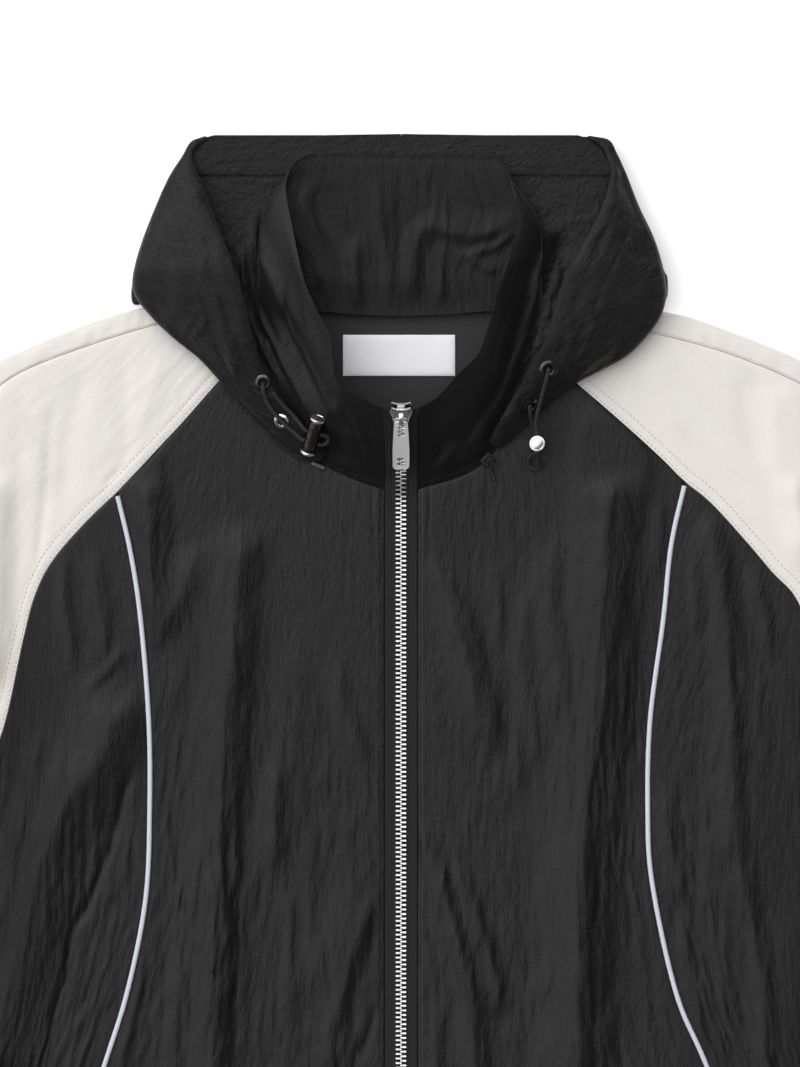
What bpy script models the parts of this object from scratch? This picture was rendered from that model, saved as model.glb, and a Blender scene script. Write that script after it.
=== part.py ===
"""Hooded windbreaker with a front zip, lying flat on its back.

The sleeves are spread, the collar stands open and the hood lies back round it with its mouth up.
X runs to the right as seen from above, Y towards the hood, Z up from the surface it lies on.
Tables and sizes are in millimetres, and meshes are made in metres.
"""

import math

import bmesh
import bpy
import numpy as np
from mathutils import Matrix, Vector

MM = 0.001
OBJECT_NAME = "windbreaker_jacket"

# Driving dimensions.
WALL = 1.2
TRIM_WALL = 1.0
SEAM_GAP = 0.3
# How far two shapes run into each other before they are joined into one.
WELD = 0.2
HEM_Y = -395.5
ZIP_EDGE_X = 10.0
TAPE_OUTER_X = 9.8
TAPE_INNER_X = 3.6
CHAIN_HALF_WIDTH = 3.3
CHAIN_THICKNESS = 2.6
PIPING_WIDTH = 3.0
PIPING_HEIGHT = 1.6
PANEL_START = 1.5
FOLD_HEIGHT = 3.6
HOOD_REST = 7.0
CORD_DIAMETER = 2.4
EYELET_HOLE = 4.6
EYELET_HEIGHT = 1.1
LOCK_DIAMETER = 7.6
LOCK_RIM_DIAMETER = 9.6
LOCK_RIM_LENGTH = 2.2
LOCK_SLOT = (10.2, 3.3)
LABEL_SIZE = (67.2, 24.6)
LABEL_AT = (-1.2, 262.6)
BACK_NECK_HALF = 72.0

# Front zip's slider and pull tab.
SLIDER_LENGTH = 12.5
SLIDER_WIDTH = 13.6
SLIDER_OVER_RIM = 3.0
PLATE_THICKNESS = 1.5
PLATE_GAP = 3.2
POST_SIZE = (6.0, 6.0)
POST_START = 0.4
BRIDGE_WIDTH = 2.6
BRIDGE_TOP = 6.9
BRIDGE_START, BRIDGE_END = 4.2, 12.8
BRIDGE_WALL = 1.2
BRIDGE_HOLE_HEIGHT = 2.9
TAB_WIDTH = 10.0
TAB_LENGTH = 38.0
TAB_THICKNESS = 1.5
TAB_BAR = 1.6
TAB_SLOT = (4.4, 10.6)
TAB_WINDOW = (5.0, 7.0)
TAB_END_WALL = 2.2
# The hinge axis in the slider's frame: along the zip, out of the cloth.
BAR_AT = (10.3, 4.65)

# How many cells each stretch of a seam has. Pieces that share a seam share these.
NECK_CELLS = 10
RAGLAN_UPPER_CELLS = 6
RAGLAN_LOWER_CELLS = 6
UNDERARM_CELLS = 9
PIPING_CELLS = 20
SLEEVE_FRONT_CELLS = 6

# Seam lines, x and y. The neck seam runs from the zip round to the shoulder.
NECK_SEAM = {
    "left": [(-10, 182.3), (-24.6, 187.0), (-43.2, 195.7), (-57, 204.5), (-69, 217.5), (-78, 235), (-84, 252), (-88, 270)],
    "right": [(10, 182.6), (30.6, 188.2), (44, 194.2), (53, 201.8), (64, 214.5), (74.5, 232), (87.5, 261)],
}
NECK_SIDE = {
    "left": [(-88, 270), (-87.2, 277), (-84, 283)],
    "right": [(87.5, 261), (88, 273), (84, 283)],
}
NECK_BACK = {
    "left": [(-84, 283), (-78, 287.8), (-67, 290), (-50, 289.2), (-28, 287.6), (0, 287)],
    "right": [(84, 283), (78, 287.8), (67, 290), (50, 289.2), (28, 287.6), (0, 287)],
}
RAGLAN_UPPER = {
    "left": [(-88, 270), (-108.6, 247.9), (-130.2, 223.3), (-147, 205.3), (-170.4, 180.5)],
    "right": [(87.5, 261), (105.5, 245.6), (126.6, 227.5), (150.6, 205.9), (170.4, 186.7)],
}
RAGLAN_LOWER = {
    "left": [(-170.4, 180.5), (-188.4, 163.3), (-208.2, 140.5), (-219, 120), (-226.5, 92), (-239, 37), (-257, 0)],
    "right": [(170.4, 186.7), (186, 174), (205.2, 153.1), (222, 133.3), (239.4, 112), (252, 62), (268, 2)],
}
PIPING = {
    "left": [
        (-170.4, 180.5), (-162, 144.1), (-156, 103.9), (-151.2, 44.5), (-150.6, -9), (-153, -62.9),
        (-163.8, -118.1), (-178.2, -164.3), (-206, -250), (-230, -325), (-250, HEM_Y),
    ],
    "right": [
        (170.4, 186.7), (162, 148.9), (157.2, 103.9), (149.4, 44.5), (147.9, -9), (150.6, -53.9),
        (165, -119.9), (183.6, -164.3), (212, -240), (236, -318), (256, HEM_Y),
    ],
}
SIDE_SEAM = {
    "left": [(-257, 0), (-261, -130), (-263, -260), (-262, HEM_Y)],
    "right": [(268, 2), (270, -130), (270, -260), (268, HEM_Y)],
}
UNDERARM = {
    "left": [(-257, 0), (-292, -92), (-331, -187), (-370, -281), (-407, -371)],
    "right": [(268, 2), (301, -90), (339, -185), (375, -279), (409, -369)],
}
OVERARM = {
    "left": [
        (-85.2, 284), (-112, 284.5), (-146.4, 280.9), (-190, 267.5), (-227.4, 252.7), (-252, 236), (-292, 211), (-332, 183),
        (-369, 147), (-398, 102), (-420, 48), (-441, -24), (-467, -129), (-491, -233), (-513, -330),
    ],
    "right": [
        (85.2, 284), (116, 282.5), (155.4, 274.9), (185.4, 267.1), (211.2, 258.1), (239.4, 245.5), (285, 219), (331, 187),
        (371, 149), (402, 104), (425, 48), (446, -24), (471, -129), (494, -232), (513, -328),
    ],
}
OUTLINE = {
    "left": [
        (-82.5, 292), (-118, 296), (-152.4, 291.7), (-186, 282.7), (-240.6, 259.9), (-292, 232), (-340, 200), (-382, 160),
        (-414, 112), (-436, 55), (-456, -20), (-480, -126), (-503, -230), (-524, -326),
    ],
    "right": [
        (82.5, 292), (122, 295), (161.4, 288.1), (185.4, 281.5), (239.4, 259.9), (292, 232), (342, 200), (384, 160),
        (418, 112), (441, 55), (461, -20), (483, -126), (504, -229), (524, -324),
    ],
}
# The share of the overarm seam and of the outline that each stretch of the raglan seam faces.
OUTER_SHARE = (0.0, 0.15, 0.46, 1.0)

# Soft folds of the front, as ridges: both ends, height, half width.
FOLDS = [
    # x1, y1, x2, y2, height, half width
    (-112, 150, -140, 40, 2.6, 11),
    (-92, 128, -104, -20, 3.0, 13),
    (-60, 110, -74, -60, 2.2, 12),
    (-104, -28, -112, -150, 2.8, 13),
    (-16, -40, -64, -130, 3.2, 11),
    (-60, -150, -96, -300, 3.0, 14),
    (-130, -180, -150, -340, 2.8, 14),
    (-28, -210, -40, -350, 2.4, 13),
    (18, 136, 54, 22, 3.0, 11),
    (14, -22, 58, -140, 3.2, 11),
    (84, 150, 92, 10, 2.6, 13),
    (128, 162, 124, 18, 3.0, 12),
    (106, -10, 112, -142, 2.6, 13),
    (40, -160, 56, -320, 2.8, 14),
    (104, -180, 124, -350, 3.0, 14),
    (168, -200, 190, -340, 2.6, 14),
    (-205, 60, -215, -120, 2.8, 13),
    (-190, -120, -226, -300, 2.6, 13),
    (208, 80, 214, -80, 2.8, 13),
    (186, 20, 196, -160, 2.4, 11),
    (228, -60, 232, -260, 2.6, 12),
    (-229, 246, -214, 172, 3.0, 11),
    (-262, 210, -262, 96, 3.0, 12),
    (-306, 186, -318, 40, 3.0, 14),
    (-350, 150, -366, -30, 2.8, 14),
    (-300, 20, -352, -120, 2.8, 13),
    (-390, 40, -420, -150, 2.8, 13),
    (-372, -120, -424, -290, 2.8, 13),
    (-446, -120, -478, -270, 2.6, 12),
    (232, 246, 236, 168, 3.0, 11),
    (270, 214, 276, 90, 3.0, 12),
    (312, 184, 326, 40, 3.0, 14),
    (356, 150, 374, -30, 2.8, 14),
    (306, 20, 356, -120, 2.8, 13),
    (396, 40, 424, -150, 2.8, 13),
    (378, -120, 428, -290, 2.8, 13),
    (450, -120, 480, -270, 2.6, 12),
]

# The collar's free edge, from the zip round the back to the zip: x, y, z of its outer face.
COLLAR_RIM = [
    (-10, 229.8, 45), (-21, 234.5, 46), (-34.8, 242.0, 47), (-39.6, 250, 47), (-41, 262, 46),
    (-42.6, 274, 45), (-50, 288, 42), (-58, 307, 37), (-64.8, 337, 28), (-69.2, 364, 19),
    (-64.5, 377, 15), (-52.8, 382, 12.4), (-26, 382.2, 11.4), (0, 381.9, 11.2), (28, 381.2, 11.4),
    (54, 380.4, 12.6), (62.4, 376, 15.5), (67.0, 362, 21), (69.6, 345, 26), (65.5, 322, 33),
    (59, 302, 38), (53, 281, 43), (46.5, 263, 45), (34, 250.0, 46), (21.6, 236.5, 46),
    (10, 229.8, 45),
]
COLLAR_ROUND_CELLS = 48
COLLAR_HEIGHT_CELLS = 8
COLLAR_CENTER = np.array([0.0, 262.0])
COLLAR_BULGE = 13.0
COLLAR_BELLY = 3.0
COLLAR_BUCKLE = 1.8
COLLAR_CURVE = 1.15
NECK_INSET = 0.8

# Sections across each half of the hood, from the top of its mouth round to the zip.
# inner x y: where the lower layer ends; edge x y: the fold; rim x y z: the mouth's edge.
HOOD_SECTIONS = {
    "left": [
        # inner x, y, edge x, y, rim x, y, z, fold radius
        (0, 395.2, -126.0, 394.6, -122.5, 391.8, 11.4, 2.2),
        (0, 379, -131.5, 383.0, -125.2, 383.0, 12.5, 2.4),
        (0, 356, -139.8, 367.9, -119.4, 366.1, 19.0, 3.4),
        (0, 332, -149.4, 345.7, -111.0, 343.3, 26.0, 5.0),
        (0, 312, -155.5, 329.5, -104.7, 328.0, 30.0, 5.8),
        (-6, 293.5, -159.4, 316.0, -100.3, 315.0, 32.0, 6.0),
        (-40, 289.6, -160.9, 305.0, -96.4, 304.0, 33.2, 6.0),
        (-66, 291, -158.6, 296.6, -93.0, 293.0, 34.0, 5.6),
        (-80, 289.6, -152.0, 288.2, -90.6, 282.0, 33.0, 5.0),
        (-88.5, 282, -143.4, 279.0, -88.0, 271.0, 31.5, 4.6),
        (-91, 271, -133.2, 270.1, -85.8, 263.0, 29.5, 4.2),
        (-89, 259, -121.2, 260.5, -82.6, 254.5, 27.5, 3.8),
        (-86, 247, -109.4, 247.9, -77.6, 245.5, 25.5, 3.8),
        (-81.6, 233.6, -95.2, 231.8, -71.4, 236.0, 23.5, 3.6),
        (-72.4, 220, -80.4, 217.2, -63.4, 226.6, 21.0, 3.2),
        (-59.2, 207.6, -66.0, 206.2, -53.2, 215.2, 17.6, 2.7),
        (-46.0, 197.9, -51.8, 199.0, -44.4, 202.8, 13.0, 2.4),
    ],
    "right": [
        (0, 395.2, 116.5, 395.0, 112.5, 391.4, 11.4, 2.2),
        (0, 380, 127.8, 387.0, 122.0, 383.6, 12.8, 2.4),
        (0, 356, 134.8, 371.8, 125.6, 371.0, 17.5, 3.0),
        (0, 334, 142.4, 352.3, 120.6, 352.5, 24.0, 4.4),
        (0, 314, 151.0, 334.0, 112.0, 334.5, 29.0, 5.6),
        (6, 293.5, 156.4, 317.5, 103.0, 317.5, 32.5, 6.2),
        (40, 289.6, 158.8, 304.0, 96.0, 304.5, 34.0, 6.2),
        (66, 291, 158.4, 294.6, 92.4, 293.0, 35.0, 6.0),
        (80, 289.6, 154.8, 284.4, 88.8, 281.0, 34.0, 5.4),
        (88.5, 282, 147.0, 273.8, 85.0, 270.0, 33.5, 5.0),
        (91, 271, 136.0, 262.6, 80.8, 261.5, 32.5, 4.6),
        (88.5, 258, 122.0, 254.5, 76.2, 251.5, 31.0, 4.2),
        (84.5, 247, 105.0, 245.6, 70.6, 243.0, 29.0, 4.4),
        (78.6, 234.8, 90.0, 234.4, 64.4, 233.2, 27.0, 4.2),
        (69.6, 221.4, 78.4, 223.4, 58.6, 222.5, 24.0, 3.4),
        (60.6, 211.0, 67.6, 213.4, 54.8, 215.6, 19.6, 2.8),
        (54.4, 205.2, 60.8, 207.2, 52.6, 210.6, 15.4, 2.4),
    ],
}
HOOD_ROWS = 22
HOOD_FLOOR_CELLS = 5
HOOD_FOLD_CELLS = 4
HOOD_FLAP_CELLS = 7
HOOD_CROWN = 2.5

# Outline of the hood's folded crown under it, x and y, and its layered edge, height and inset.
HOOD_UNDER_OUTLINE = [
    (-120, 394.2), (0, 395.0), (112, 394.6), (126, 387), (133, 371), (141, 350), (151, 330), (158, 313),
    (159.8, 309), (159.4, 297), (154, 299.5), (130, 307), (102, 317), (84, 318), (40, 313), (0, 311),
    (-40, 313), (-84, 318), (-102, 317), (-130, 308), (-148, 300), (-153.5, 294.2), (-160.6, 293.4),
    (-161.4, 304), (-157, 322), (-148, 345), (-138, 367), (-129, 384),
]
HOOD_UNDER_LAYERS = [
    # z, inset
    (0.0, 1.6), (0.7, 0.4), (2.0, 0.2), (2.5, 1.6), (3.1, 0.3), (4.3, 0.0), (4.8, 1.4), (5.4, 0.3), (6.2, 0.5),
    (6.6, 1.8),
]

EYELETS = [
    # name, side, x, y, outer diameter
    ("eyelet_left_upper", "left", -82.4, 245.4, 9.8),
    ("eyelet_left_lower", "left", -71.2, 222.9, 9.4),
    ("eyelet_right_upper", "right", 88.2, 254.4, 10.8),
    ("eyelet_right_lower", "right", 77.1, 233.0, 10.2),
]

LOCKS = {
    # lower end of the axis, upper end, way of the strands, slot's middle above the axis's middle
    "left": ((-55.9, 203.6, 20.4), (-49.4, 225.0, 32.0), (-0.96, 0.28, 0.0), -1.3),
    "right": ((81.3, 209.5, 5.6), (81.3, 209.5, 27.4), (0.0, 1.0, 0.0), 1.3),
}

# Drawcord routes, chosen along each cord from its first eyelet through the lock and back.
CORD_ROUTES = {
    "left": [
        (-82.4, 245.4, 27.2), (-82.2, 241.0, 27.8), (-80.6, 235.6, 25.9), (-77.5, 230.0, 24.6), (-73.4, 225.0, 24.1),
        (-69.0, 220.5, 23.4), (-64.2, 216.2, 23.2), (-58.84, 211.8, 24.06), (-53.85, 210.35, 24.06),
        (-48.86, 208.9, 24.06), (-45.4, 209.0, 24.3), (-43.6, 211.4, 25.4), (-44.4, 213.8, 26.6),
        (-47.13, 214.58, 27.14), (-52.12, 216.04, 27.14), (-57.11, 217.5, 27.14), (-60.6, 221.6, 25.8),
        (-64.4, 226.4, 24.6), (-70.2, 232.2, 25.2), (-74.4, 237.2, 26.4), (-76.0, 240.2, 27.0),
    ],
    "right": [
        (88.2, 254.4, 33.0), (87.2, 250.0, 33.2), (86.0, 245.4, 31.8), (83.4, 235.4, 28.6), (80.8, 224.6, 24.6),
        (80.4, 219.0, 22.2), (81.1, 214.7, 21.2), (81.3, 209.5, 21.15), (81.3, 204.3, 21.0), (82.6, 200.4, 17.5),
        (83.6, 197.0, 12.0), (81.4, 194.4, 8.6), (77.4, 195.4, 8.0), (76.0, 199.0, 8.6), (78.2, 202.6, 11.4),
        (81.0, 204.4, 14.2), (81.3, 209.5, 14.45), (81.2, 214.6, 14.6), (79.2, 219.4, 18.0), (77.6, 225.0, 23.2),
        (77.0, 229.4, 26.4), (77.15, 232.6, 26.9),
    ],
}
CORD_POINTS = 46

# Zip that joins the hood to the neck, where it shows: a stretch of coil, its end and its slider.
HOOD_ZIP_LINE = [(-78.8, 215.2), (-72.6, 209.6), (-66.0, 204.6), (-60.2, 201.3), (-55.0, 199.0)]
HOOD_ZIP_SECTION = (2.4, 1.3)
HOOD_ZIP_END = ((-53.6, 198.2), (-45.4, 194.4))
HOOD_SLIDER_AT = (51.6, 200.2, 7.9)
HOOD_SLIDER_UP = (0.284, -0.291, 0.914)
HOOD_SLIDER_WAY = (0.715, 0.698, 0.0)
HOOD_SLIDER_SIZE = (7.6, 6.4, 3.4)
HOOD_PULL_ROUTE = [(54.0, 198.4, 12.2), (54.5, 196.0, 11.2), (54.9, 193.6, 8.2), (55.4, 190.4, 6.6), (55.9, 186.8, 7.4)]
HOOD_PULL_DIAMETER = 1.1
HOOD_PULL_BEAD = 2.4


def smooth_line(points, per_span=12):
    """A Catmull-Rom line through the points."""
    knots = np.array(points, float)
    knots = np.vstack([2 * knots[0] - knots[1], knots, 2 * knots[-1] - knots[-2]])
    line = []
    for before, start, end, after in zip(knots, knots[1:], knots[2:], knots[3:]):
        for t in np.arange(per_span) / per_span:
            linear = (end - before) * t
            square = (2 * before - 5 * start + 4 * end - after) * t**2
            cube = (3 * start - before - 3 * end + after) * t**3
            line.append(0.5 * (2 * start + linear + square + cube))
    line.append(knots[-2])
    return np.array(line)


def run_of(line):
    """The length along the line at each of its points."""
    steps = np.linalg.norm(np.diff(line, axis=0), axis=1)
    return np.concatenate([[0.0], np.cumsum(steps)])


def at_length(line, lengths):
    """The points of the line at these lengths along it."""
    run = run_of(line)
    return np.column_stack([np.interp(lengths, run, column) for column in line.T])


def spaced(line, cells, start=0.0, end=1.0):
    """Evenly spaced points on a share of the line, one more than the cells."""
    total = run_of(line)[-1]
    return at_length(line, np.linspace(start * total, end * total, cells + 1))


def ease(t):
    """0 to 1 with soft ends."""
    t = np.clip(t, 0.0, 1.0)
    return t * t * (3 - 2 * t)


def mix(a, b, t):
    return a * (1 - t) + b * t


LINES = {
    name: {side: smooth_line(points) for side, points in table.items()}
    for name, table in {
        "neck": NECK_SEAM,
        "neck_side": NECK_SIDE,
        "neck_back": NECK_BACK,
        "raglan_upper": RAGLAN_UPPER,
        "raglan_lower": RAGLAN_LOWER,
        "piping": PIPING,
        "side": SIDE_SEAM,
        "underarm": UNDERARM,
        "overarm": OVERARM,
        "outline": OUTLINE,
    }.items()
}


# Height of the front over the surface.
CLOSED_EDGES = [LINES[name][side] for name in ("side", "underarm", "outline") for side in ("left", "right")]
EDGE_RISE = (1.4, 2.5)
INNER_RISE = (1.0, 25.0)
FOLD_EDGE_FADE = 22.0
ZIP_FADE = 30.0
NECK_LIFT = (2.0, 186.0, 46.0)
FRONT_TOP_LIMIT = 6.6
HOOD_AREA_Y = (150.0, 190.0)


def distance_to(points, line):
    """Shortest distance from each point to a line in the plane."""
    start, span = line[:-1], np.diff(line, axis=0)
    offset = points[:, None, :] - start[None]
    share = np.clip((offset * span).sum(2) / (span * span).sum(1), 0, 1)
    return np.linalg.norm(offset - share[..., None] * span, axis=2).min(1)


def fold_height(points):
    """Soft ridges at these points."""
    total = np.zeros(len(points))
    for x1, y1, x2, y2, height, half_width in FOLDS:
        start, span = np.array([x1, y1]), np.array([x2 - x1, y2 - y1])
        along = ((points - start) @ span) / (span @ span)
        across = np.abs(np.cross(span, points - start)) / np.linalg.norm(span)
        ends = ease(along / 0.3) * ease((1 - along) / 0.3)
        total += height * ends * np.exp(-((across / half_width) ** 2))
    return total


def front_height(points):
    """Height of the front's underside at these points."""
    points = np.atleast_2d(np.array(points, float))
    away = np.min([distance_to(points, line[::3]) for line in CLOSED_EDGES], axis=0)
    rise = EDGE_RISE[0] * (1 - np.exp(-away / EDGE_RISE[1])) + INNER_RISE[0] * (1 - np.exp(-away / INNER_RISE[1]))
    flat_zip = ease((np.abs(points[:, 0]) - ZIP_EDGE_X) / ZIP_FADE)
    folds = fold_height(points) * (1 - np.exp(-away / FOLD_EDGE_FADE)) * flat_zip
    lift, lift_y, reach = NECK_LIFT
    neck = lift * np.exp(-((np.hypot(points[:, 0], points[:, 1] - lift_y) / reach) ** 2))
    under_hood = ease((points[:, 1] - HOOD_AREA_Y[0]) / (HOOD_AREA_Y[1] - HOOD_AREA_Y[0]))
    wanted = PANEL_START + rise + folds + neck
    limit = FRONT_TOP_LIMIT - WALL
    return mix(wanted, np.minimum(wanted, limit), under_hood)


# Meshes.
def new_object(name, mesh, location=None):
    obj = bpy.data.objects.new(name, mesh)
    PARTS.objects.link(obj)
    if location is not None:
        obj.location = location
    return obj


def mesh_object(name, build):
    """An object whose mesh the build function fills, with its faces turned out."""
    mesh = bpy.data.meshes.new(name)
    shape = bmesh.new()
    build(shape)
    bmesh.ops.recalc_face_normals(shape, faces=shape.faces)
    shape.to_mesh(mesh)
    shape.free()
    return new_object(name, mesh)


def loft(name, sections, smooth=True):
    """One closed solid through rings of points, capped at both ends."""
    rings = [np.array(section, float) * MM for section in sections]

    def build(shape):
        rows = [[shape.verts.new(point) for point in ring] for ring in rings]
        for row, following in zip(rows, rows[1:]):
            for k in range(len(row)):
                after = (k + 1) % len(row)
                shape.faces.new((row[k], row[after], following[after], following[k]))
        shape.faces.new(rows[0])
        shape.faces.new(rows[-1])

    obj = mesh_object(name, build)
    if smooth:
        obj.data.shade_smooth()
    return obj


def sheet(name, outer, inner):
    """A cloth wall between two grids of points, closed all round."""
    rows, columns = outer.shape[:2]

    def build(shape):
        faces = [
            [[shape.verts.new(outer[i, k] * MM) for k in range(columns)] for i in range(rows)],
            [[shape.verts.new(inner[i, k] * MM) for k in range(columns)] for i in range(rows)],
        ]
        for grid in faces:
            for i in range(rows - 1):
                for k in range(columns - 1):
                    shape.faces.new((grid[i][k], grid[i][k + 1], grid[i + 1][k + 1], grid[i + 1][k]))
        bmesh.ops.bridge_loops(shape, edges=[edge for edge in shape.edges if edge.is_boundary])

    obj = mesh_object(name, build)
    obj.data.shade_smooth()
    obj.data.set_sharp_from_angle(angle=math.radians(50))
    return obj


def inset_border(grid, amount):
    """Moves the border points of a flat grid inwards, so that neighbours keep a seam gap."""
    rows, columns = grid.shape[:2]
    loop = [(0, k) for k in range(columns)] + [(i, columns - 1) for i in range(1, rows)]
    loop += [(rows - 1, k) for k in range(columns - 2, -1, -1)] + [(i, 0) for i in range(rows - 2, 0, -1)]
    border = np.array([grid[at] for at in loop])
    ahead = np.roll(border, -1, axis=0) - border
    area = (border[:, 0] * np.roll(border[:, 1], -1) - np.roll(border[:, 0], -1) * border[:, 1]).sum()
    turn = 1.0 if area > 0 else -1.0
    normal = turn * np.column_stack([-ahead[:, 1], ahead[:, 0]])
    normal /= np.linalg.norm(normal, axis=1)[:, None]
    both = normal + np.roll(normal, 1, axis=0)
    shift = both / np.maximum((both * both).sum(1) / 2, 0.35)[:, None] * amount
    result = grid.copy()
    for at, point in zip(loop, border + shift):
        result[at] = point
    return result


def patch(bottom, top, left, right):
    """Coons patch between four border lines, rows from bottom to top."""
    u = np.linspace(0, 1, len(bottom))[None, :, None]
    v = np.linspace(0, 1, len(left))[:, None, None]
    across = mix(bottom[None], top[None], v)
    up = mix(left[:, None], right[:, None], u)
    corners = mix(mix(bottom[0], bottom[-1], u), mix(top[0], top[-1], u), v)
    return across + up - corners


def raised_panel(name, grid):
    """A panel of the front: its plan grid, lifted to the front's height."""
    plan = inset_border(grid, SEAM_GAP / 2)
    height = front_height(plan.reshape(-1, 2)).reshape(plan.shape[:2])
    lower = np.dstack([plan, height])
    return sheet(name, lower + [0, 0, WALL], lower)


def grid_normals(grid):
    """Unit normals of a grid of points in space."""
    along = np.gradient(grid, axis=0)
    across = np.gradient(grid, axis=1)
    normal = np.cross(along, across)
    return normal / np.maximum(np.linalg.norm(normal, axis=2), 1e-9)[..., None]


# Fronts, back and sleeves.
def raglan_points(side):
    upper = spaced(LINES["raglan_upper"][side], RAGLAN_UPPER_CELLS)
    lower = spaced(LINES["raglan_lower"][side], RAGLAN_LOWER_CELLS)
    return upper, lower


def front_center(side):
    sign = -1 if side == "left" else 1
    neck = spaced(LINES["neck"][side], NECK_CELLS)
    upper, _ = raglan_points(side)
    piping = spaced(LINES["piping"][side], PIPING_CELLS)[::-1]
    outer = np.vstack([piping, upper[::-1][1:]])
    zip_edge = np.linspace((sign * ZIP_EDGE_X, HEM_Y), neck[0], len(outer))
    hem = np.linspace(zip_edge[0], piping[0], len(neck))
    return raised_panel(f"front_center_{side}", patch(hem, neck, zip_edge, outer))


def front_side(side):
    _, lower = raglan_points(side)
    piping = spaced(LINES["piping"][side], PIPING_CELLS)[::-1]
    side_seam = spaced(LINES["side"][side], PIPING_CELLS)[::-1]
    hem = np.linspace(piping[0], side_seam[0], len(lower))
    return raised_panel(f"front_side_{side}", patch(hem, lower, piping, side_seam))


def sleeve_inner(side):
    upper, lower = raglan_points(side)
    under = spaced(LINES["underarm"][side], UNDERARM_CELLS)
    return np.vstack([upper, lower[1:], under[1:]])


def facing_sleeve(line):
    """Points on an outer line of the sleeve, one for each point of its inner line."""
    cells = (RAGLAN_UPPER_CELLS, RAGLAN_LOWER_CELLS, UNDERARM_CELLS)
    parts = [spaced(line, n, a, b) for n, a, b in zip(cells, OUTER_SHARE, OUTER_SHARE[1:])]
    return np.vstack([parts[0]] + [part[1:] for part in parts[1:]])


def sleeve_front(side):
    inner = sleeve_inner(side)
    outer = facing_sleeve(LINES["overarm"][side])
    across = np.linspace(0, 1, SLEEVE_FRONT_CELLS + 1)[None, :, None]
    grid = mix(inner[:, None], outer[:, None], across)
    return raised_panel(f"sleeve_front_{side}", grid)


SLEEVE_FLOOR_CELLS = 4
FOLD_ANGLES = (-90, -30, 30, 90)


def back_raglan_start(side):
    sign = -1 if side == "left" else 1
    return np.array([sign * BACK_NECK_HALF, 289.4])


def back_inner(side):
    """The sleeve's inner line underneath: the back raglan seam, then the underarm seam."""
    points = sleeve_inner(side)
    start = back_raglan_start(side)
    fade = ease(1 - np.arange(RAGLAN_UPPER_CELLS + 1) / RAGLAN_UPPER_CELLS)[:, None]
    points[: RAGLAN_UPPER_CELLS + 1] += fade * (start - points[0])
    return points


def sleeve_back(side):
    inner = back_inner(side)
    outline = facing_sleeve(LINES["outline"][side])
    overarm = facing_sleeve(LINES["overarm"][side])
    inward = inner - outline
    inward /= np.linalg.norm(inward, axis=1)[:, None]
    radius = FOLD_HEIGHT / 2
    along = np.gradient(inner, axis=0)
    along /= np.linalg.norm(along, axis=1)[:, None]
    turn = 1.0 if side == "left" else -1.0
    seam_side = np.column_stack([along[:, 1], -along[:, 0]]) * turn
    start = inner + seam_side * SEAM_GAP / 2
    center = outline + inward * radius
    seam_way = overarm - center
    seam_way /= np.linalg.norm(seam_way, axis=1)[:, None]
    seam = overarm - seam_way * SEAM_GAP / 2
    outer, lining = [], []
    for t in np.linspace(0, 1, SLEEVE_FLOOR_CELLS + 1)[:-1]:
        plan = mix(start, center, t)
        outer.append(np.column_stack([plan, np.zeros(len(plan))]))
        lining.append(np.column_stack([plan, np.full(len(plan), WALL)]))
    for angle in FOLD_ANGLES:
        way = math.radians(angle)
        for skin, reach in ((outer, radius), (lining, radius - WALL)):
            plan = center - inward * reach * math.cos(way)
            skin.append(np.column_stack([plan, np.full(len(plan), radius + reach * math.sin(way))]))
    for t in (0.5, 1.0):
        plan = mix(center, seam, t)
        height = np.maximum(front_height(plan), FOLD_HEIGHT - WALL)
        lining.append(np.column_stack([plan, height]))
        outer.append(np.column_stack([plan, height + WALL]))
    outer, lining = np.stack(outer, axis=1), np.stack(lining, axis=1)
    trim_cuff_and_neck(outer, lining)
    return sheet(f"sleeve_back_{side}", outer, lining)


def trim_cuff_and_neck(*grids):
    """Draws the first row in from the neck by half a seam gap."""
    for grid in grids:
        way = grid[1] - grid[0]
        way /= np.linalg.norm(way, axis=1)[:, None]
        grid[0] += way * SEAM_GAP / 2


def back_panel():
    """The back, one flat piece on the surface."""
    half = {}
    for side in ("left", "right"):
        inner = back_inner(side)[: RAGLAN_UPPER_CELLS + RAGLAN_LOWER_CELLS + 1]
        seam = spaced(LINES["side"][side], 6)
        line = LINES["neck_back"][side]
        neck = spaced(line[np.abs(line[:, 0]) < BACK_NECK_HALF - 1][::-1], 5)
        half[side] = np.vstack([neck, inner, seam[1:]])
    ring = inset_ring(np.vstack([half["left"], half["right"][:0:-1]]), SEAM_GAP / 2)
    curve = bpy.data.curves.new("back_panel", "CURVE")
    curve.dimensions = "2D"
    curve.fill_mode = "BOTH"
    curve.extrude = WALL / 2 * MM
    spline = curve.splines.new("POLY")
    spline.points.add(len(ring) - 1)
    for point, (x, y) in zip(spline.points, ring):
        point.co = (x * MM, y * MM, 0, 1)
    spline.use_cyclic_u = True
    return new_object("back_panel", curve, (0, 0, WALL / 2 * MM))


def inset_ring(ring, amount):
    """A closed outline moved in by the amount."""
    ahead = np.roll(ring, -1, axis=0) - ring
    area = (ring[:, 0] * np.roll(ring[:, 1], -1) - np.roll(ring[:, 0], -1) * ring[:, 1]).sum()
    normal = np.column_stack([-ahead[:, 1], ahead[:, 0]]) * (1 if area > 0 else -1)
    normal /= np.linalg.norm(normal, axis=1)[:, None]
    both = normal + np.roll(normal, 1, axis=0)
    return ring + both / np.maximum((both * both).sum(1) / 2, 0.35)[:, None] * amount


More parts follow.
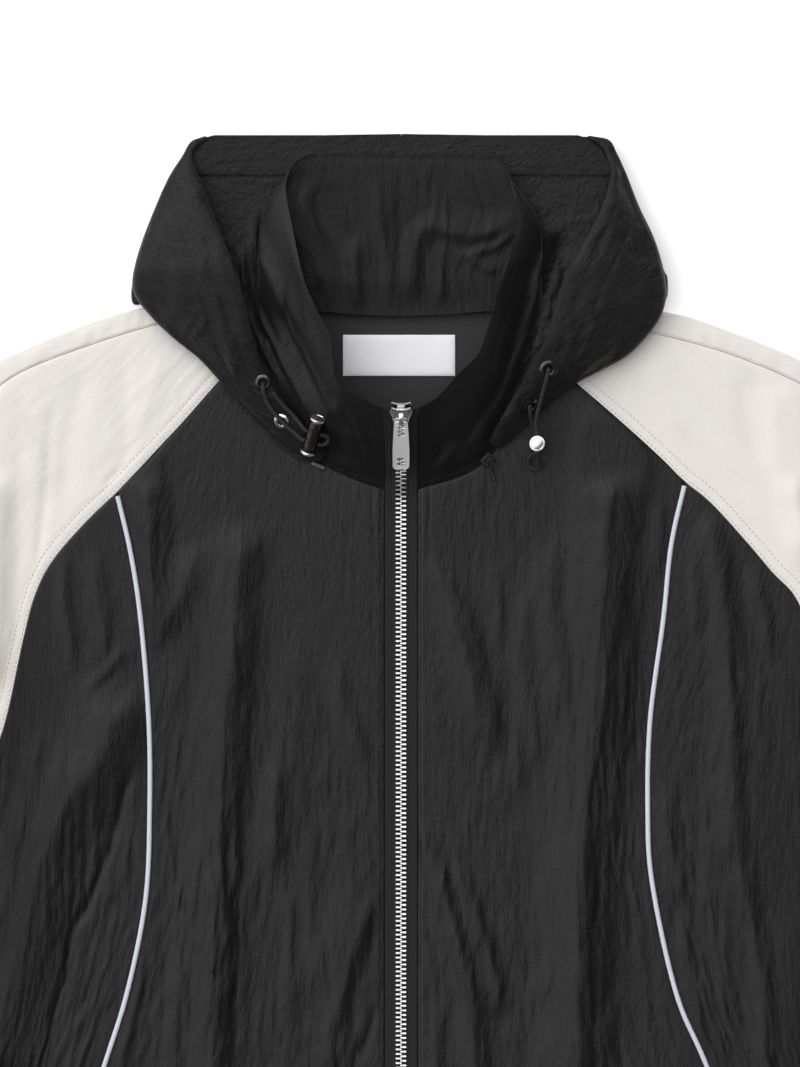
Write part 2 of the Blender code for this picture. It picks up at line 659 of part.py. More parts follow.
def piping(side):
    """Half-round cord that lies along the curved seam, over both panels' edges."""
    line = spaced(LINES["piping"][side], PIPING_CELLS + 6, 0.004, 0.998)
    along = np.gradient(line, axis=0)
    along /= np.linalg.norm(along, axis=1)[:, None]
    across = np.column_stack([-along[:, 1], along[:, 0]])
    rings = []
    half, tall = PIPING_WIDTH / 2, PIPING_HEIGHT
    profile = [(-half, 0), (half, 0), (half * 0.9, tall * 0.55), (half * 0.45, tall), (-half * 0.45, tall),
               (-half * 0.9, tall * 0.55)]
    reach = [line + across * half, line - across * half, line]
    base = np.max([front_height(points) for points in reach], axis=0) + WALL + SEAM_GAP + 0.25
    for point, side_way, height in zip(line, across, base):
        rings.append([(*(point + side_way * w), height + h) for w, h in profile])
    return loft(f"piping_{side}", rings)


# Collar.
COLLAR_LIE = 0.15
COLLAR_CORNER = (0.2, 0.065)
COLLAR_CLEARANCE = 0.6
COLLAR_SPRING = 0.6
# Which share of the free edge's half lies across from which share of the neck seam's half.
COLLAR_MATCH = [
    # seam, free edge
    (0, 0), (0.152, 0.119), (0.312, 0.209), (0.468, 0.289), (0.549, 0.357), (0.62, 0.472), (0.667, 0.634),
    (0.713, 0.715), (1, 1),
]


def collar_base():
    """The collar's lower edge round the neck: x, y, z of its outer face, from zip to zip."""
    halves = []
    for side in ("left", "right"):
        line = np.vstack([LINES["neck"][side], LINES["neck_side"][side][1:], LINES["neck_back"][side][1:]])
        halves.append(np.column_stack([line, collar_seat(line)]))
    return np.vstack([halves[0], halves[1][::-1][1:]])


def over_hood(points):
    """Height that just clears the hood's lower layer."""
    return mix(hood_floor_height(points), HOOD_REST, COLLAR_SPRING) + WALL + COLLAR_CLEARANCE


def collar_seat(line):
    """Outer-face height along the neck seam: the front's top at the front, over the hood at the back."""
    return mix(front_height(line) + WALL, over_hood(line), ease((line[:, 1] - 262) / 30))


def collar_grid(round_cells, height_cells):
    """The collar's outer face: rows round the neck, columns from the neck seam to the free edge."""
    turn = np.linspace(0, 1, round_cells + 1)
    middle = np.abs(turn - 0.5)
    seam_share, edge_share = np.array(COLLAR_MATCH).T
    half_turn = 1 - 2 * middle
    step = (seam_share + edge_share) / 2
    base, rim = (
        at_length(line, run_of(line)[-1] * np.where(turn < 0.5, share / 2, 1 - share / 2))
        for line, share in (
            (collar_base(), np.interp(half_turn, step, seam_share)),
            (smooth_line(COLLAR_RIM), np.interp(half_turn, step, edge_share)),
        )
    )
    away = base[:, :2] - COLLAR_CENTER
    away /= np.linalg.norm(away, axis=1)[:, None]
    at, spread = COLLAR_CORNER
    corner = np.exp(-(((middle - at) / spread) ** 2))
    lying = np.exp(-((middle / COLLAR_LIE) ** 6))
    front = ease(np.minimum(turn, 1 - turn) / 0.07)
    sideways = np.column_stack([np.sign(turn - 0.5), np.zeros(len(turn))])
    grid = np.zeros((round_cells + 1, height_cells + 1, 3))
    for k, v in enumerate(np.linspace(0, 1, height_cells + 1)):
        swell = COLLAR_BULGE * math.sin(math.pi * v)
        belly = COLLAR_BELLY * math.sin(math.pi * v)
        plan = mix(base[:, :2], rim[:, :2], v)
        plan = plan + sideways * (corner * swell)[:, None]
        plan = plan + away * ((1 - corner) * (1 - lying) * front * belly)[:, None]
        standing = mix(base[:, 2], rim[:, 2], v**COLLAR_CURVE)
        waves = np.sin(2 * math.pi * (2.2 * v + 3.0 * turn)) * (1 - lying) * front
        standing = standing + COLLAR_BUCKLE * math.sin(math.pi * v) * waves
        flat = over_hood(plan) + (rim[:, 2] - HOOD_REST - WALL - COLLAR_CLEARANCE) * ease((v - 0.25) / 0.75)
        height = mix(standing, np.maximum(flat, over_hood(plan)), lying)
        behind = ease((plan[:, 1] - 268) / 20)
        grid[:, k] = np.column_stack([plan, mix(height, np.maximum(height, over_hood(plan)), behind)])
    grid[:, 0, :2] -= away * NECK_INSET
    grid[[0, -1], :, 0] = [[-ZIP_EDGE_X - 0.2], [ZIP_EDGE_X + 0.2]]
    return grid


def collar():
    outer = collar_grid(COLLAR_ROUND_CELLS, COLLAR_HEIGHT_CELLS)
    inner = outer + wall_offset(outer, (COLLAR_ROUND_CELLS // 2, 4))
    inner[[0, -1], :, 0] = outer[[0, -1], :, 0]
    return sheet("collar", outer, inner)


def wall_offset(outer, upward_at):
    """The way through the wall at each point of a grid, towards the side that is up at one point."""
    normal = grid_normals(outer)
    for _ in range(2):
        normal[1:-1] = (normal[:-2] + 2 * normal[1:-1] + normal[2:]) / 4
        normal[:, 1:-1] = (normal[:, :-2] + 2 * normal[:, 1:-1] + normal[:, 2:]) / 4
    normal /= np.linalg.norm(normal, axis=2)[..., None]
    return normal * (WALL if normal[upward_at][2] > 0 else -WALL)


# Hood.
def hood_sections(side, rows):
    """The table's rows, smoothed and spaced evenly round the hood's edge."""
    table = smooth_line(HOOD_SECTIONS[side], 8)
    run = run_of(table[:, 2:4])
    where = np.linspace(0, run[-1], rows + 1)
    return np.column_stack([np.interp(where, run, column) for column in table.T])


# How the hood's lower layer dips to the seam at the back of the neck: depth, reach.
HOOD_DIP = (4.1, 22.0)


def hood_floor_height(points):
    """Height of the underside of the hood's lower layer."""
    points = np.atleast_2d(points)
    level = HOOD_REST + 0.8 * ease((300 - points[:, 1]) / 40)
    depth, reach = HOOD_DIP
    back = np.vstack([LINES["neck_back"]["left"][::6], LINES["neck_back"]["right"][::-6][1:]])
    near = 1 - ease(distance_to(points, back) / reach)
    inside = ease((76 - np.abs(points[:, 0])) / 24) * ease((points[:, 1] - 280) / 8)
    return level - depth * near * inside


def hood_grid(side, rows, floor_cells, fold_cells, flap_cells):
    """The hood's outer face: rows from the mouth's top to the zip, columns from the inner end to the rim."""
    sign = -1 if side == "left" else 1
    grid = []
    for ix, iy, ex, ey, rx, ry, rz, radius in hood_sections(side, rows):
        inner, edge, rim = np.array([ix, iy]), np.array([ex, ey]), np.array([rx, ry])
        inner[0] = sign * max(abs(inner[0]), SEAM_GAP / 2)
        to_inner = (inner - edge) / np.linalg.norm(inner - edge)
        to_rim = (rim - edge) / np.linalg.norm(rim - edge)
        inward = to_inner + to_rim
        inward /= np.linalg.norm(inward)
        hub = edge + inward * radius
        plan = np.array([mix(inner, hub, t) for t in np.linspace(0, 1, floor_cells + 1)])
        heights = hood_floor_height(plan)
        row = [(*at, z) for at, z in zip(plan[:-1], heights)]
        rest = heights[-1]
        for angle in np.linspace(-90, 90, fold_cells + 1):
            way = math.radians(angle)
            row.append((*(hub - inward * radius * math.cos(way)), rest + radius * (1 + math.sin(way))))
        top = rest + 2 * radius
        for t in np.linspace(0, 1, flap_cells + 1)[1:]:
            crown = HOOD_CROWN * math.sin(math.pi * t) * min(1.0, np.linalg.norm(rim - hub) / 30)
            climb = (math.sin(math.pi / 2 * t) + t) / 2
            row.append((*mix(hub, rim, t), mix(top, rz, climb) + crown))
        grid.append(row)
    return np.array(grid)


def hood(side):
    outer = hood_grid(side, HOOD_ROWS, HOOD_FLOOR_CELLS, HOOD_FOLD_CELLS, HOOD_FLAP_CELLS)
    return sheet(f"hood_{side}", outer, outer + wall_offset(outer, (2, 2)))


FACING_ROWS = [
    # y, left x, right x
    (370.2, -134.0, 130.0), (378.0, -129.6, 125.6), (386.0, -125.4, 119.6), (391.0, -122.4, 114.6), (394.4, -119.5, 110.0),
]


def hood_facing():
    """Strip inside the top of the hood's mouth, on the hood's lower layer."""
    plan = np.array([np.linspace((left, y), (right, y), 21) for y, left, right in FACING_ROWS])
    lower = np.dstack([plan, np.full(plan.shape[:2], HOOD_REST + WALL + SEAM_GAP + 0.1)])
    return sheet("hood_facing", lower + [0, 0, TRIM_WALL], lower)


def hood_under():
    """The hood's hidden crown, folded flat: one solid whose edge shows its layers."""
    ring = np.array(HOOD_UNDER_OUTLINE, float)
    return loft("hood_under", [np.column_stack([inset_ring(ring, inset), np.full(len(ring), z)])
                               for z, inset in HOOD_UNDER_LAYERS])


# Neck.
LINING_BACK = [(-64, 289), (-40, 287.9), (0, 286.4), (40, 287.9), (64, 289)]
LINING_FRONT = [(-70, 262), (-52, 232), (0, 212), (52, 232), (70, 262)]


def back_neck_lining():
    """Half-moon of lining inside the back neck."""
    columns, rows = 12, 4
    back, front = smooth_line(LINING_BACK), smooth_line(LINING_FRONT)
    grid = mix(spaced(front, columns)[None], spaced(back, columns)[None], np.linspace(0, 1, rows + 1)[:, None, None])
    lower = np.dstack([grid, np.full(grid.shape[:2], WALL + SEAM_GAP)])
    return sheet("back_neck_lining", lower + [0, 0, TRIM_WALL], lower)


def neck_label():
    width, height = LABEL_SIZE
    bpy.ops.mesh.primitive_cube_add(size=1)
    obj = bpy.context.object
    obj.name = obj.data.name = "neck_label"
    base = WALL + SEAM_GAP + TRIM_WALL + SEAM_GAP
    obj.data.transform(Matrix.Diagonal((width * MM, height * MM, TRIM_WALL * MM, 1)))
    obj.location = Vector((*LABEL_AT, base + TRIM_WALL / 2)) * MM
    move_to_parts(obj)
    return obj


def move_to_parts(obj):
    for holder in list(obj.users_collection):
        holder.objects.unlink(obj)
    PARTS.objects.link(obj)


# Front zip.
def zip_path(body_cells=26, collar_cells=8):
    """Centre line of the zip, y and z of the cloth's top face beside it, and the face's slope."""
    neck_y = NECK_SEAM["left"][0][1]
    y = np.linspace(HEM_Y + 3, neck_y - 6, body_cells + 1)
    body = np.column_stack([y, front_height(np.column_stack([np.full(len(y), ZIP_EDGE_X), y])) + WALL])
    outer = collar_grid(COLLAR_ROUND_CELLS, collar_cells)
    left, right = outer[0], outer[-1]
    wall = (left + right) / 2
    return smooth_line(np.vstack([body, wall[1:, 1:]]), 3)


def zip_frames(drop, start=0.0, end=1.0, cells=36):
    """Points under the cloth's top face by the drop, with the slope's unit normal, as y and z."""
    line = spaced(zip_path(), cells, start, end)
    along = np.gradient(line, axis=0)
    along /= np.linalg.norm(along, axis=1)[:, None]
    normal = np.column_stack([-along[:, 1], along[:, 0]])
    return line - normal * drop, normal


ZIP_DROP = SEAM_GAP + TRIM_WALL / 2


def zip_strip(name, x_low, x_high, thickness, end):
    points, normal = zip_frames(ZIP_DROP, end=end)
    rings = []
    for (y, z), (ny, nz) in zip(points, normal):
        half = thickness / 2
        low, high = (y - ny * half, z - nz * half), (y + ny * half, z + nz * half)
        rings.append([(x_low, *low), (x_high, *low), (x_high, *high), (x_low, *high)])
    return loft(name, rings, smooth=False)


def slider_frame():
    """Matrix of the slider: X across, Y down the zip, Z out of the cloth, at the chain's middle."""
    points, normal = zip_frames(ZIP_DROP, start=0.98, end=1.0, cells=8)
    (y, z), (ny, nz) = points[-1], normal[-4]
    out = Vector((0, ny, nz))
    across = Vector((-1, 0, 0))
    down = out.cross(across)
    frame = Matrix((across, down, out)).transposed().to_4x4()
    frame.translation = Vector((0, y, z)) * MM
    return frame @ Matrix.Translation((0, -SLIDER_OVER_RIM * MM, 0))


def block(size, center):
    """A box mesh in millimetres, as an object that is not yet placed."""
    bpy.ops.mesh.primitive_cube_add(size=1)
    obj = bpy.context.object
    obj.data.transform(Matrix.Translation(Vector(center) * MM) @ Matrix.Diagonal([s * MM for s in size] + [1]))
    return obj


def cut_or_join(target, other, operation):
    """Applies an exact Boolean at once and removes the other object."""
    modifier = target.modifiers.new(operation.title(), "BOOLEAN")
    modifier.operation = operation
    modifier.object = other
    modifier.solver = "EXACT"
    bpy.context.view_layer.update()
    graph = bpy.context.evaluated_depsgraph_get()
    mesh = bpy.data.meshes.new_from_object(target.evaluated_get(graph))
    target.modifiers.clear()
    target.data = mesh
    bpy.data.objects.remove(other)
    return target


def named(obj, name):
    obj.name = obj.data.name = name
    move_to_parts(obj)
    return obj


def zip_slider():
    plate_at = PLATE_GAP / 2 + PLATE_THICKNESS / 2
    plate_top = PLATE_GAP / 2 + PLATE_THICKNESS
    middle = SLIDER_LENGTH / 2
    body = block((SLIDER_WIDTH, SLIDER_LENGTH, PLATE_THICKNESS), (0, middle, plate_at))
    lower = block((SLIDER_WIDTH, SLIDER_LENGTH, PLATE_THICKNESS), (0, middle, -plate_at))
    post_width, post_length = POST_SIZE
    post = block((post_width, post_length, PLATE_GAP + 2 * WELD), (0, POST_START + post_length / 2, 0))
    bridge_middle = (BRIDGE_START + BRIDGE_END) / 2
    bridge_height = BRIDGE_TOP - plate_top + WELD
    bridge = block((BRIDGE_WIDTH, BRIDGE_END - BRIDGE_START, bridge_height),
                   (0, bridge_middle, BRIDGE_TOP - bridge_height / 2))
    hole = block((BRIDGE_WIDTH * 2, BRIDGE_END - BRIDGE_START - 2 * BRIDGE_WALL, BRIDGE_HOLE_HEIGHT),
                 (0, bridge_middle, plate_top + BRIDGE_HOLE_HEIGHT / 2))
    bridge = cut_or_join(bridge, hole, "DIFFERENCE")
    for other in (post, lower, bridge):
        body = cut_or_join(body, other, "UNION")
    body.matrix_world = slider_frame()
    return named(body, "zip_slider")


def zip_pull():
    """The pull tab, hinged on the slider's bridge, with its origin on the hinge axis."""
    bar_y, bar_z = BAR_AT
    tab_end = TAB_LENGTH - TAB_BAR / 2
    tab = block((TAB_WIDTH, TAB_LENGTH, TAB_THICKNESS), (0, tab_end - TAB_LENGTH / 2, 0))
    slot = block((*TAB_SLOT, 2 * TAB_THICKNESS), (0, TAB_BAR / 2 + TAB_SLOT[1] / 2, 0))
    window = block((*TAB_WINDOW, 2 * TAB_THICKNESS), (0, tab_end - TAB_END_WALL - TAB_WINDOW[1] / 2, 0))
    tab = cut_or_join(tab, slot, "DIFFERENCE")
    tab = cut_or_join(tab, window, "DIFFERENCE")
    tab.matrix_world = slider_frame() @ Matrix.Translation(Vector((0, bar_y, bar_z)) * MM)
    return named(tab, "zip_pull")


# Hood fittings.
def seat_on(grid, up_at, x, y, radius):
    """Where a flat round piece rests on a surface of points, and the way up there."""
    normals = grid_normals(grid)
    if normals[up_at][2] < 0:
        normals = -normals
    points, normals = grid.reshape(-1, 3), normals.reshape(-1, 3)
    nearest = np.argmin(np.hypot(points[:, 0] - x, points[:, 1] - y))
    center, normal = points[nearest], normals[nearest]
    around = points[np.linalg.norm(points - center, axis=1) < radius * 1.1]
    lift = ((around - center) @ normal).max() + SEAM_GAP + 0.15
    return Vector(center + normal * lift), Vector(normal)


def standing_frame(base, way):
    """Matrix with its origin at the base and Z along the way."""
    return Matrix.Translation(base * MM) @ way.to_track_quat("Z", "Y").to_matrix().to_4x4()


def eyelet(name, side, x, y, outer):
    upper_hood = hood_grid(side, 80, 2, 8, 60)[:, 6:]
    seat, normal = seat_on(upper_hood, (40, 30), x, y, outer / 2)
    tube = (outer - EYELET_HOLE) / 4
    bpy.ops.mesh.primitive_torus_add(
        major_radius=(outer + EYELET_HOLE) / 4 * MM, minor_radius=tube * MM, major_segments=18, minor_segments=6
    )
    ring = bpy.context.object
    ring.data.transform(Matrix.Diagonal((1, 1, EYELET_HEIGHT / 2 / tube, 1)))
    ring.matrix_world = standing_frame(seat + normal * EYELET_HEIGHT / 2, normal)
    ring.data.shade_smooth()
    return named(ring, name)


def drum(diameter, length, height):
    """A cylinder about Z, in millimetres, with its middle at a height."""
    bpy.ops.mesh.primitive_cylinder_add(vertices=20, radius=diameter / 2 * MM, depth=length * MM)
    obj = bpy.context.object
    obj.data.transform(Matrix.Translation((0, 0, height * MM)))
    return obj


def cord_lock(side):
    low, high, strands, slot_height = LOCKS[side]
    low, high = Vector(low), Vector(high)
    length = (high - low).length
    up = (high - low).normalized()
    across = up.cross(Vector(strands)).normalized()
    frame = Matrix((across.cross(up), across, up)).transposed().to_4x4()
    frame.translation = (low + high) / 2 * MM
    barrel = drum(LOCK_DIAMETER, length - 0.4, 0)
    for end in (-1, 1):
        rim = drum(LOCK_RIM_DIAMETER, LOCK_RIM_LENGTH, end * (length - LOCK_RIM_LENGTH) / 2)
        barrel = cut_or_join(barrel, rim, "UNION")
    slot_length, slot_width = LOCK_SLOT
    slot = block((LOCK_RIM_DIAMETER + 2, slot_width, slot_length), (0, 0, slot_height))
    barrel = cut_or_join(barrel, slot, "DIFFERENCE")
    barrel.matrix_world = frame
    return named(barrel, f"cord_lock_{side}")


def tube(name, line, diameter, radii=None):
    """A round cord through the points, as a curve."""
    curve = bpy.data.curves.new(name, "CURVE")
    curve.dimensions = "3D"
    curve.bevel_depth = diameter / 2 * MM
    curve.bevel_resolution = 2
    curve.use_fill_caps = True
    spline = curve.splines.new("POLY")
    spline.points.add(len(line) - 1)
    for k, point in enumerate(line):
        spline.points[k].co = (*(point * MM), 1)
        spline.points[k].radius = 1 if radii is None else radii[k]
    spline.use_smooth = True
    return new_object(name, curve)


def cord(side):
    line = spaced(smooth_line(CORD_ROUTES[side]), CORD_POINTS)
    return tube(f"cord_{side}", line, CORD_DIAMETER)


def hood_zip_coil():
    """The stretch of the hood's coil zip that shows beside the neck, on the front."""
    line = spaced(smooth_line(HOOD_ZIP_LINE), 10)
    width, tall = HOOD_ZIP_SECTION
    along = np.gradient(line, axis=0)
    along /= np.linalg.norm(along, axis=1)[:, None]
    across = np.column_stack([-along[:, 1], along[:, 0]]) * width / 2
    base = front_height(line) + WALL + SEAM_GAP + 0.1
    rings = [
        [(*(at + way), z), (*(at - way), z), (*(at - way), z + tall), (*(at + way), z + tall)]
        for at, way, z in zip(line, across, base)
    ]
    return loft("hood_zip_left", rings, smooth=False)


def hood_zip_end():
    start, end = np.array(HOOD_ZIP_END)
    way = end - start
    size = (np.linalg.norm(way), HOOD_ZIP_SECTION[0], HOOD_ZIP_SECTION[1])
    piece = block(size, (0, 0, 0))
    middle = (start + end) / 2
    base = front_height([start, middle, end]).max() + WALL + SEAM_GAP + 0.1
    turn = Matrix.Rotation(math.atan2(way[1], way[0]), 4, "Z")
    piece.matrix_world = Matrix.Translation(Vector((*middle, base + size[2] / 2)) * MM) @ turn
    return named(piece, "hood_zip_end_left")


def hood_zip_slider():
    up, way = Vector(HOOD_SLIDER_UP).normalized(), Vector(HOOD_SLIDER_WAY)
    piece = block(HOOD_SLIDER_SIZE, (0, 0, HOOD_SLIDER_SIZE[2] / 2))
    across = up.cross(way).normalized()
    frame = Matrix((across.cross(up), across, up)).transposed().to_4x4()
    frame.translation = Vector(HOOD_SLIDER_AT) * MM
    piece.matrix_world = frame
    return named(piece, "hood_zip_slider_right")


def hood_zip_pull():
    line = spaced(smooth_line(HOOD_PULL_ROUTE), 14)
    bead = HOOD_PULL_BEAD / HOOD_PULL_DIAMETER
    radii = [1.0] * (len(line) - 3) + [1.0, bead, bead * 0.6]
    return tube("hood_zip_pull_right", line, HOOD_PULL_DIAMETER, radii)


# Materials: base colour, roughness, metallic.
MATERIALS = {
    "black_nylon": ((0.024, 0.024, 0.026), 0.5, 0.0),
    "cream_nylon": ((0.83, 0.80, 0.74), 0.6, 0.0),
    "piping_satin": ((0.72, 0.74, 0.82), 0.5, 0.0),
    "lining_grey": ((0.045, 0.045, 0.047), 0.6, 0.0),
    "label_satin": ((0.78, 0.77, 0.84), 0.5, 0.0),
    "tape_black": ((0.016, 0.016, 0.017), 0.8, 0.0),
    "zip_metal": ((0.75, 0.74, 0.72), 0.25, 1.0),
    "dark_metal": ((0.08, 0.08, 0.085), 0.3, 1.0),
    "cord_grey": ((0.10, 0.10, 0.105), 0.7, 0.0),
}
FINISH_OF = [
    # start of the name, material
    ("sleeve", "cream_nylon"),
    ("piping", "piping_satin"),
    ("back_neck_lining", "lining_grey"),
    ("neck_label", "label_satin"),
    ("zip_tape", "tape_black"),
    ("zip", "zip_metal"),
    ("hood_zip_end", "zip_metal"),
    ("hood_zip", "dark_metal"),
    ("eyelet_left_lower", "zip_metal"),
    ("eyelet", "dark_metal"),
    ("cord_lock", "zip_metal"),
    ("cord", "cord_grey"),
    ("", "black_nylon"),
]


def give_material(obj):
    finish = next(finish for start, finish in FINISH_OF if obj.name.startswith(start))
    color, roughness, metallic = MATERIALS[finish]
    material = bpy.data.materials.new(f"{obj.name}_{finish}")
    material.use_nodes = True
    shader = material.node_tree.nodes["Principled BSDF"]
    shader.inputs["Base Color"].default_value = (*color, 1)
    shader.inputs["Roughness"].default_value = roughness
    shader.inputs["Metallic"].default_value = metallic
    obj.data.materials.clear()
    obj.data.materials.append(material)


for leftover in list(bpy.data.objects):
    bpy.data.objects.remove(leftover)
PARTS = bpy.data.collections.new(OBJECT_NAME)
bpy.context.scene.collection.children.link(PARTS)

back_panel()
for side_name in ("left", "right"):
    front_center(side_name)
    front_side(side_name)
    sleeve_front(side_name)
    sleeve_back(side_name)
    piping(side_name)
    hood(side_name)
collar()
hood_facing()
hood_under()
back_neck_lining()
neck_label()
zip_strip("zip_tape_left", -TAPE_OUTER_X, -TAPE_INNER_X, TRIM_WALL, 1.0)
zip_strip("zip_tape_right", TAPE_INNER_X, TAPE_OUTER_X, TRIM_WALL, 1.0)
zip_strip("zip_chain", -CHAIN_HALF_WIDTH, CHAIN_HALF_WIDTH, CHAIN_THICKNESS, 0.9915)
zip_slider()
zip_pull()
for row in EYELETS:
    eyelet(*row)
for side_name in ("left", "right"):
    cord_lock(side_name)
    cord(side_name)
hood_zip_coil()
hood_zip_end()
hood_zip_slider()
hood_zip_pull()
for part in PARTS.objects:
    give_material(part)
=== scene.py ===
"""The windbreaker's looks: crinkled nylon panels, collar and hood, zip, cords and fittings.

X runs to the right as seen from above, Y towards the hood, Z up from the surface it lies on.
Tables and sizes are in millimetres, and meshes are made in metres.
"""

import math
from contextlib import contextmanager

import bmesh
import bpy
import numpy as np
from mathutils import Matrix, Vector


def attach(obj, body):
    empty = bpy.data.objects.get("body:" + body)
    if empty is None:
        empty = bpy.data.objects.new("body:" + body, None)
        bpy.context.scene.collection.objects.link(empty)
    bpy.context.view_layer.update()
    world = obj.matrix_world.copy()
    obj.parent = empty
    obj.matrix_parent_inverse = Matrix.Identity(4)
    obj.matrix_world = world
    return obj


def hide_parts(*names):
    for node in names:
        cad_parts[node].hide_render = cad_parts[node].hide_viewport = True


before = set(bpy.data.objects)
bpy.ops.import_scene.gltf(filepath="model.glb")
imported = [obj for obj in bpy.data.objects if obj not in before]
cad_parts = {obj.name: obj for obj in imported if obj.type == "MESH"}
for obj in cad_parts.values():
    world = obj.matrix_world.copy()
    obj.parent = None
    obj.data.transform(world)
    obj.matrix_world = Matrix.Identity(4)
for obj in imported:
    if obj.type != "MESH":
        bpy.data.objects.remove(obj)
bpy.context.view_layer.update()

MM = 0.001
SIDES = ("left", "right")
SIGN = {"left": -1, "right": 1}

# Driving sizes of the garment, the same as its solids have.
WALL = 1.2
SEAM_GAP = 0.3
HEM_Y = -395.5
ZIP_EDGE_X = 10.0
TRIM_WALL = 1.0
PIPING_WIDTH = 3.0
PIPING_HEIGHT = 1.6
PANEL_START = 1.5
FOLD_HEIGHT = 3.6
HOOD_REST = 7.0
CORD_DIAMETER = 2.4
LABEL_SIZE = (67.2, 24.6)
LABEL_AT = (-1.2, 262.6)

# Cloth and sewing.
CLOTH = 0.45
STITCH_PITCH = 2.9
STITCH_LENGTH = 2.1
THREAD = 0.42
TOOTH_PITCH = 2.75

# Seam lines, x and y. The neck seam runs from the zip round to the shoulder.
NECK_SEAM = {
    "left": [
        (-10, 182.3), (-24.6, 187.0), (-43.2, 195.7), (-57, 204.5), (-69, 217.5), (-78, 235), (-84, 252),
        (-88, 270),
    ],
    "right": [(10, 182.6), (30.6, 188.2), (44, 194.2), (53, 201.8), (64, 214.5), (74.5, 232), (87.5, 261)],
}
NECK_SIDE = {
    "left": [(-88, 270), (-87.2, 277), (-84, 283)],
    "right": [(87.5, 261), (88, 273), (84, 283)],
}
NECK_BACK = {
    "left": [(-84, 283), (-78, 287.8), (-67, 290), (-50, 289.2), (-28, 287.6), (0, 287)],
    "right": [(84, 283), (78, 287.8), (67, 290), (50, 289.2), (28, 287.6), (0, 287)],
}
RAGLAN_UPPER = {
    "left": [(-88, 270), (-108.6, 247.9), (-130.2, 223.3), (-147, 205.3), (-170.4, 180.5)],
    "right": [(87.5, 261), (105.5, 245.6), (126.6, 227.5), (150.6, 205.9), (170.4, 186.7)],
}
RAGLAN_LOWER = {
    "left": [
        (-170.4, 180.5), (-188.4, 163.3), (-208.2, 140.5), (-219, 120), (-226.5, 92), (-239, 37), (-257, 0),
    ],
    "right": [(170.4, 186.7), (186, 174), (205.2, 153.1), (222, 133.3), (239.4, 112), (252, 62), (268, 2)],
}
PIPING = {
    "left": [
        (-170.4, 180.5), (-162, 144.1), (-156, 103.9), (-151.2, 44.5), (-150.6, -9), (-153, -62.9),
        (-163.8, -118.1), (-178.2, -164.3), (-206, -250), (-230, -325), (-250, HEM_Y),
    ],
    "right": [
        (170.4, 186.7), (162, 148.9), (157.2, 103.9), (149.4, 44.5), (147.9, -9), (150.6, -53.9),
        (165, -119.9), (183.6, -164.3), (212, -240), (236, -318), (256, HEM_Y),
    ],
}
SIDE_SEAM = {
    "left": [(-257, 0), (-261, -130), (-263, -260), (-262, HEM_Y)],
    "right": [(268, 2), (270, -130), (270, -260), (268, HEM_Y)],
}
UNDERARM = {
    "left": [(-257, 0), (-292, -92), (-331, -187), (-370, -281), (-407, -371)],
    "right": [(268, 2), (301, -90), (339, -185), (375, -279), (409, -369)],
}
OVERARM = {
    "left": [
        (-85.2, 284), (-112, 284.5), (-146.4, 280.9), (-190, 267.5), (-227.4, 252.7), (-252, 236),
        (-292, 211), (-332, 183), (-369, 147), (-398, 102), (-420, 48), (-441, -24), (-467, -129),
        (-491, -233), (-513, -330),
    ],
    "right": [
        (85.2, 284), (116, 282.5), (155.4, 274.9), (185.4, 267.1), (211.2, 258.1), (239.4, 245.5),
        (285, 219), (331, 187), (371, 149), (402, 104), (425, 48), (446, -24), (471, -129), (494, -232),
        (513, -328),
    ],
}
OUTLINE = {
    "left": [
        (-82.5, 292), (-118, 296), (-152.4, 291.7), (-186, 282.7), (-240.6, 259.9), (-292, 232),
        (-340, 200), (-382, 160), (-414, 112), (-436, 55), (-456, -20), (-480, -126), (-503, -230),
        (-524, -326),
    ],
    "right": [
        (82.5, 292), (122, 295), (161.4, 288.1), (185.4, 281.5), (239.4, 259.9), (292, 232), (342, 200),
        (384, 160), (418, 112), (441, 55), (461, -20), (483, -126), (504, -229), (524, -324),
    ],
}
OUTER_SHARE = (0.0, 0.15, 0.46, 1.0)

# Broad soft folds of the front, as ridges: both ends, height, half width.
FOLDS = [
    (-112, 150, -140, 40, 2.6, 11),
    (-92, 128, -104, -20, 3.0, 13),
    (-60, 110, -74, -60, 2.2, 12),
    (-104, -28, -112, -150, 2.8, 13),
    (-16, -40, -64, -130, 3.2, 11),
    (-60, -150, -96, -300, 3.0, 14),
    (-130, -180, -150, -340, 2.8, 14),
    (-28, -210, -40, -350, 2.4, 13),
    (18, 136, 54, 22, 3.0, 11),
    (14, -22, 58, -140, 3.2, 11),
    (84, 150, 92, 10, 2.6, 13),
    (128, 162, 124, 18, 3.0, 12),
    (106, -10, 112, -142, 2.6, 13),
    (40, -160, 56, -320, 2.8, 14),
    (104, -180, 124, -350, 3.0, 14),
    (168, -200, 190, -340, 2.6, 14),
    (-205, 60, -215, -120, 2.8, 13),
    (-190, -120, -226, -300, 2.6, 13),
    (208, 80, 214, -80, 2.8, 13),
    (186, 20, 196, -160, 2.4, 11),
    (228, -60, 232, -260, 2.6, 12),
    (-229, 246, -214, 172, 3.0, 11),
    (-262, 210, -262, 96, 3.0, 12),
    (-306, 186, -318, 40, 3.0, 14),
    (-350, 150, -366, -30, 2.8, 14),
    (-300, 20, -352, -120, 2.8, 13),
    (-390, 40, -420, -150, 2.8, 13),
    (-372, -120, -424, -290, 2.8, 13),
    (-446, -120, -478, -270, 2.6, 12),
    (232, 246, 236, 168, 3.0, 11),
    (270, 214, 276, 90, 3.0, 12),
    (312, 184, 326, 40, 3.0, 14),
    (356, 150, 374, -30, 2.8, 14),
    (306, 20, 356, -120, 2.8, 13),
    (396, 40, 424, -150, 2.8, 13),
    (378, -120, 428, -290, 2.8, 13),
    (450, -120, 480, -270, 2.6, 12),
]

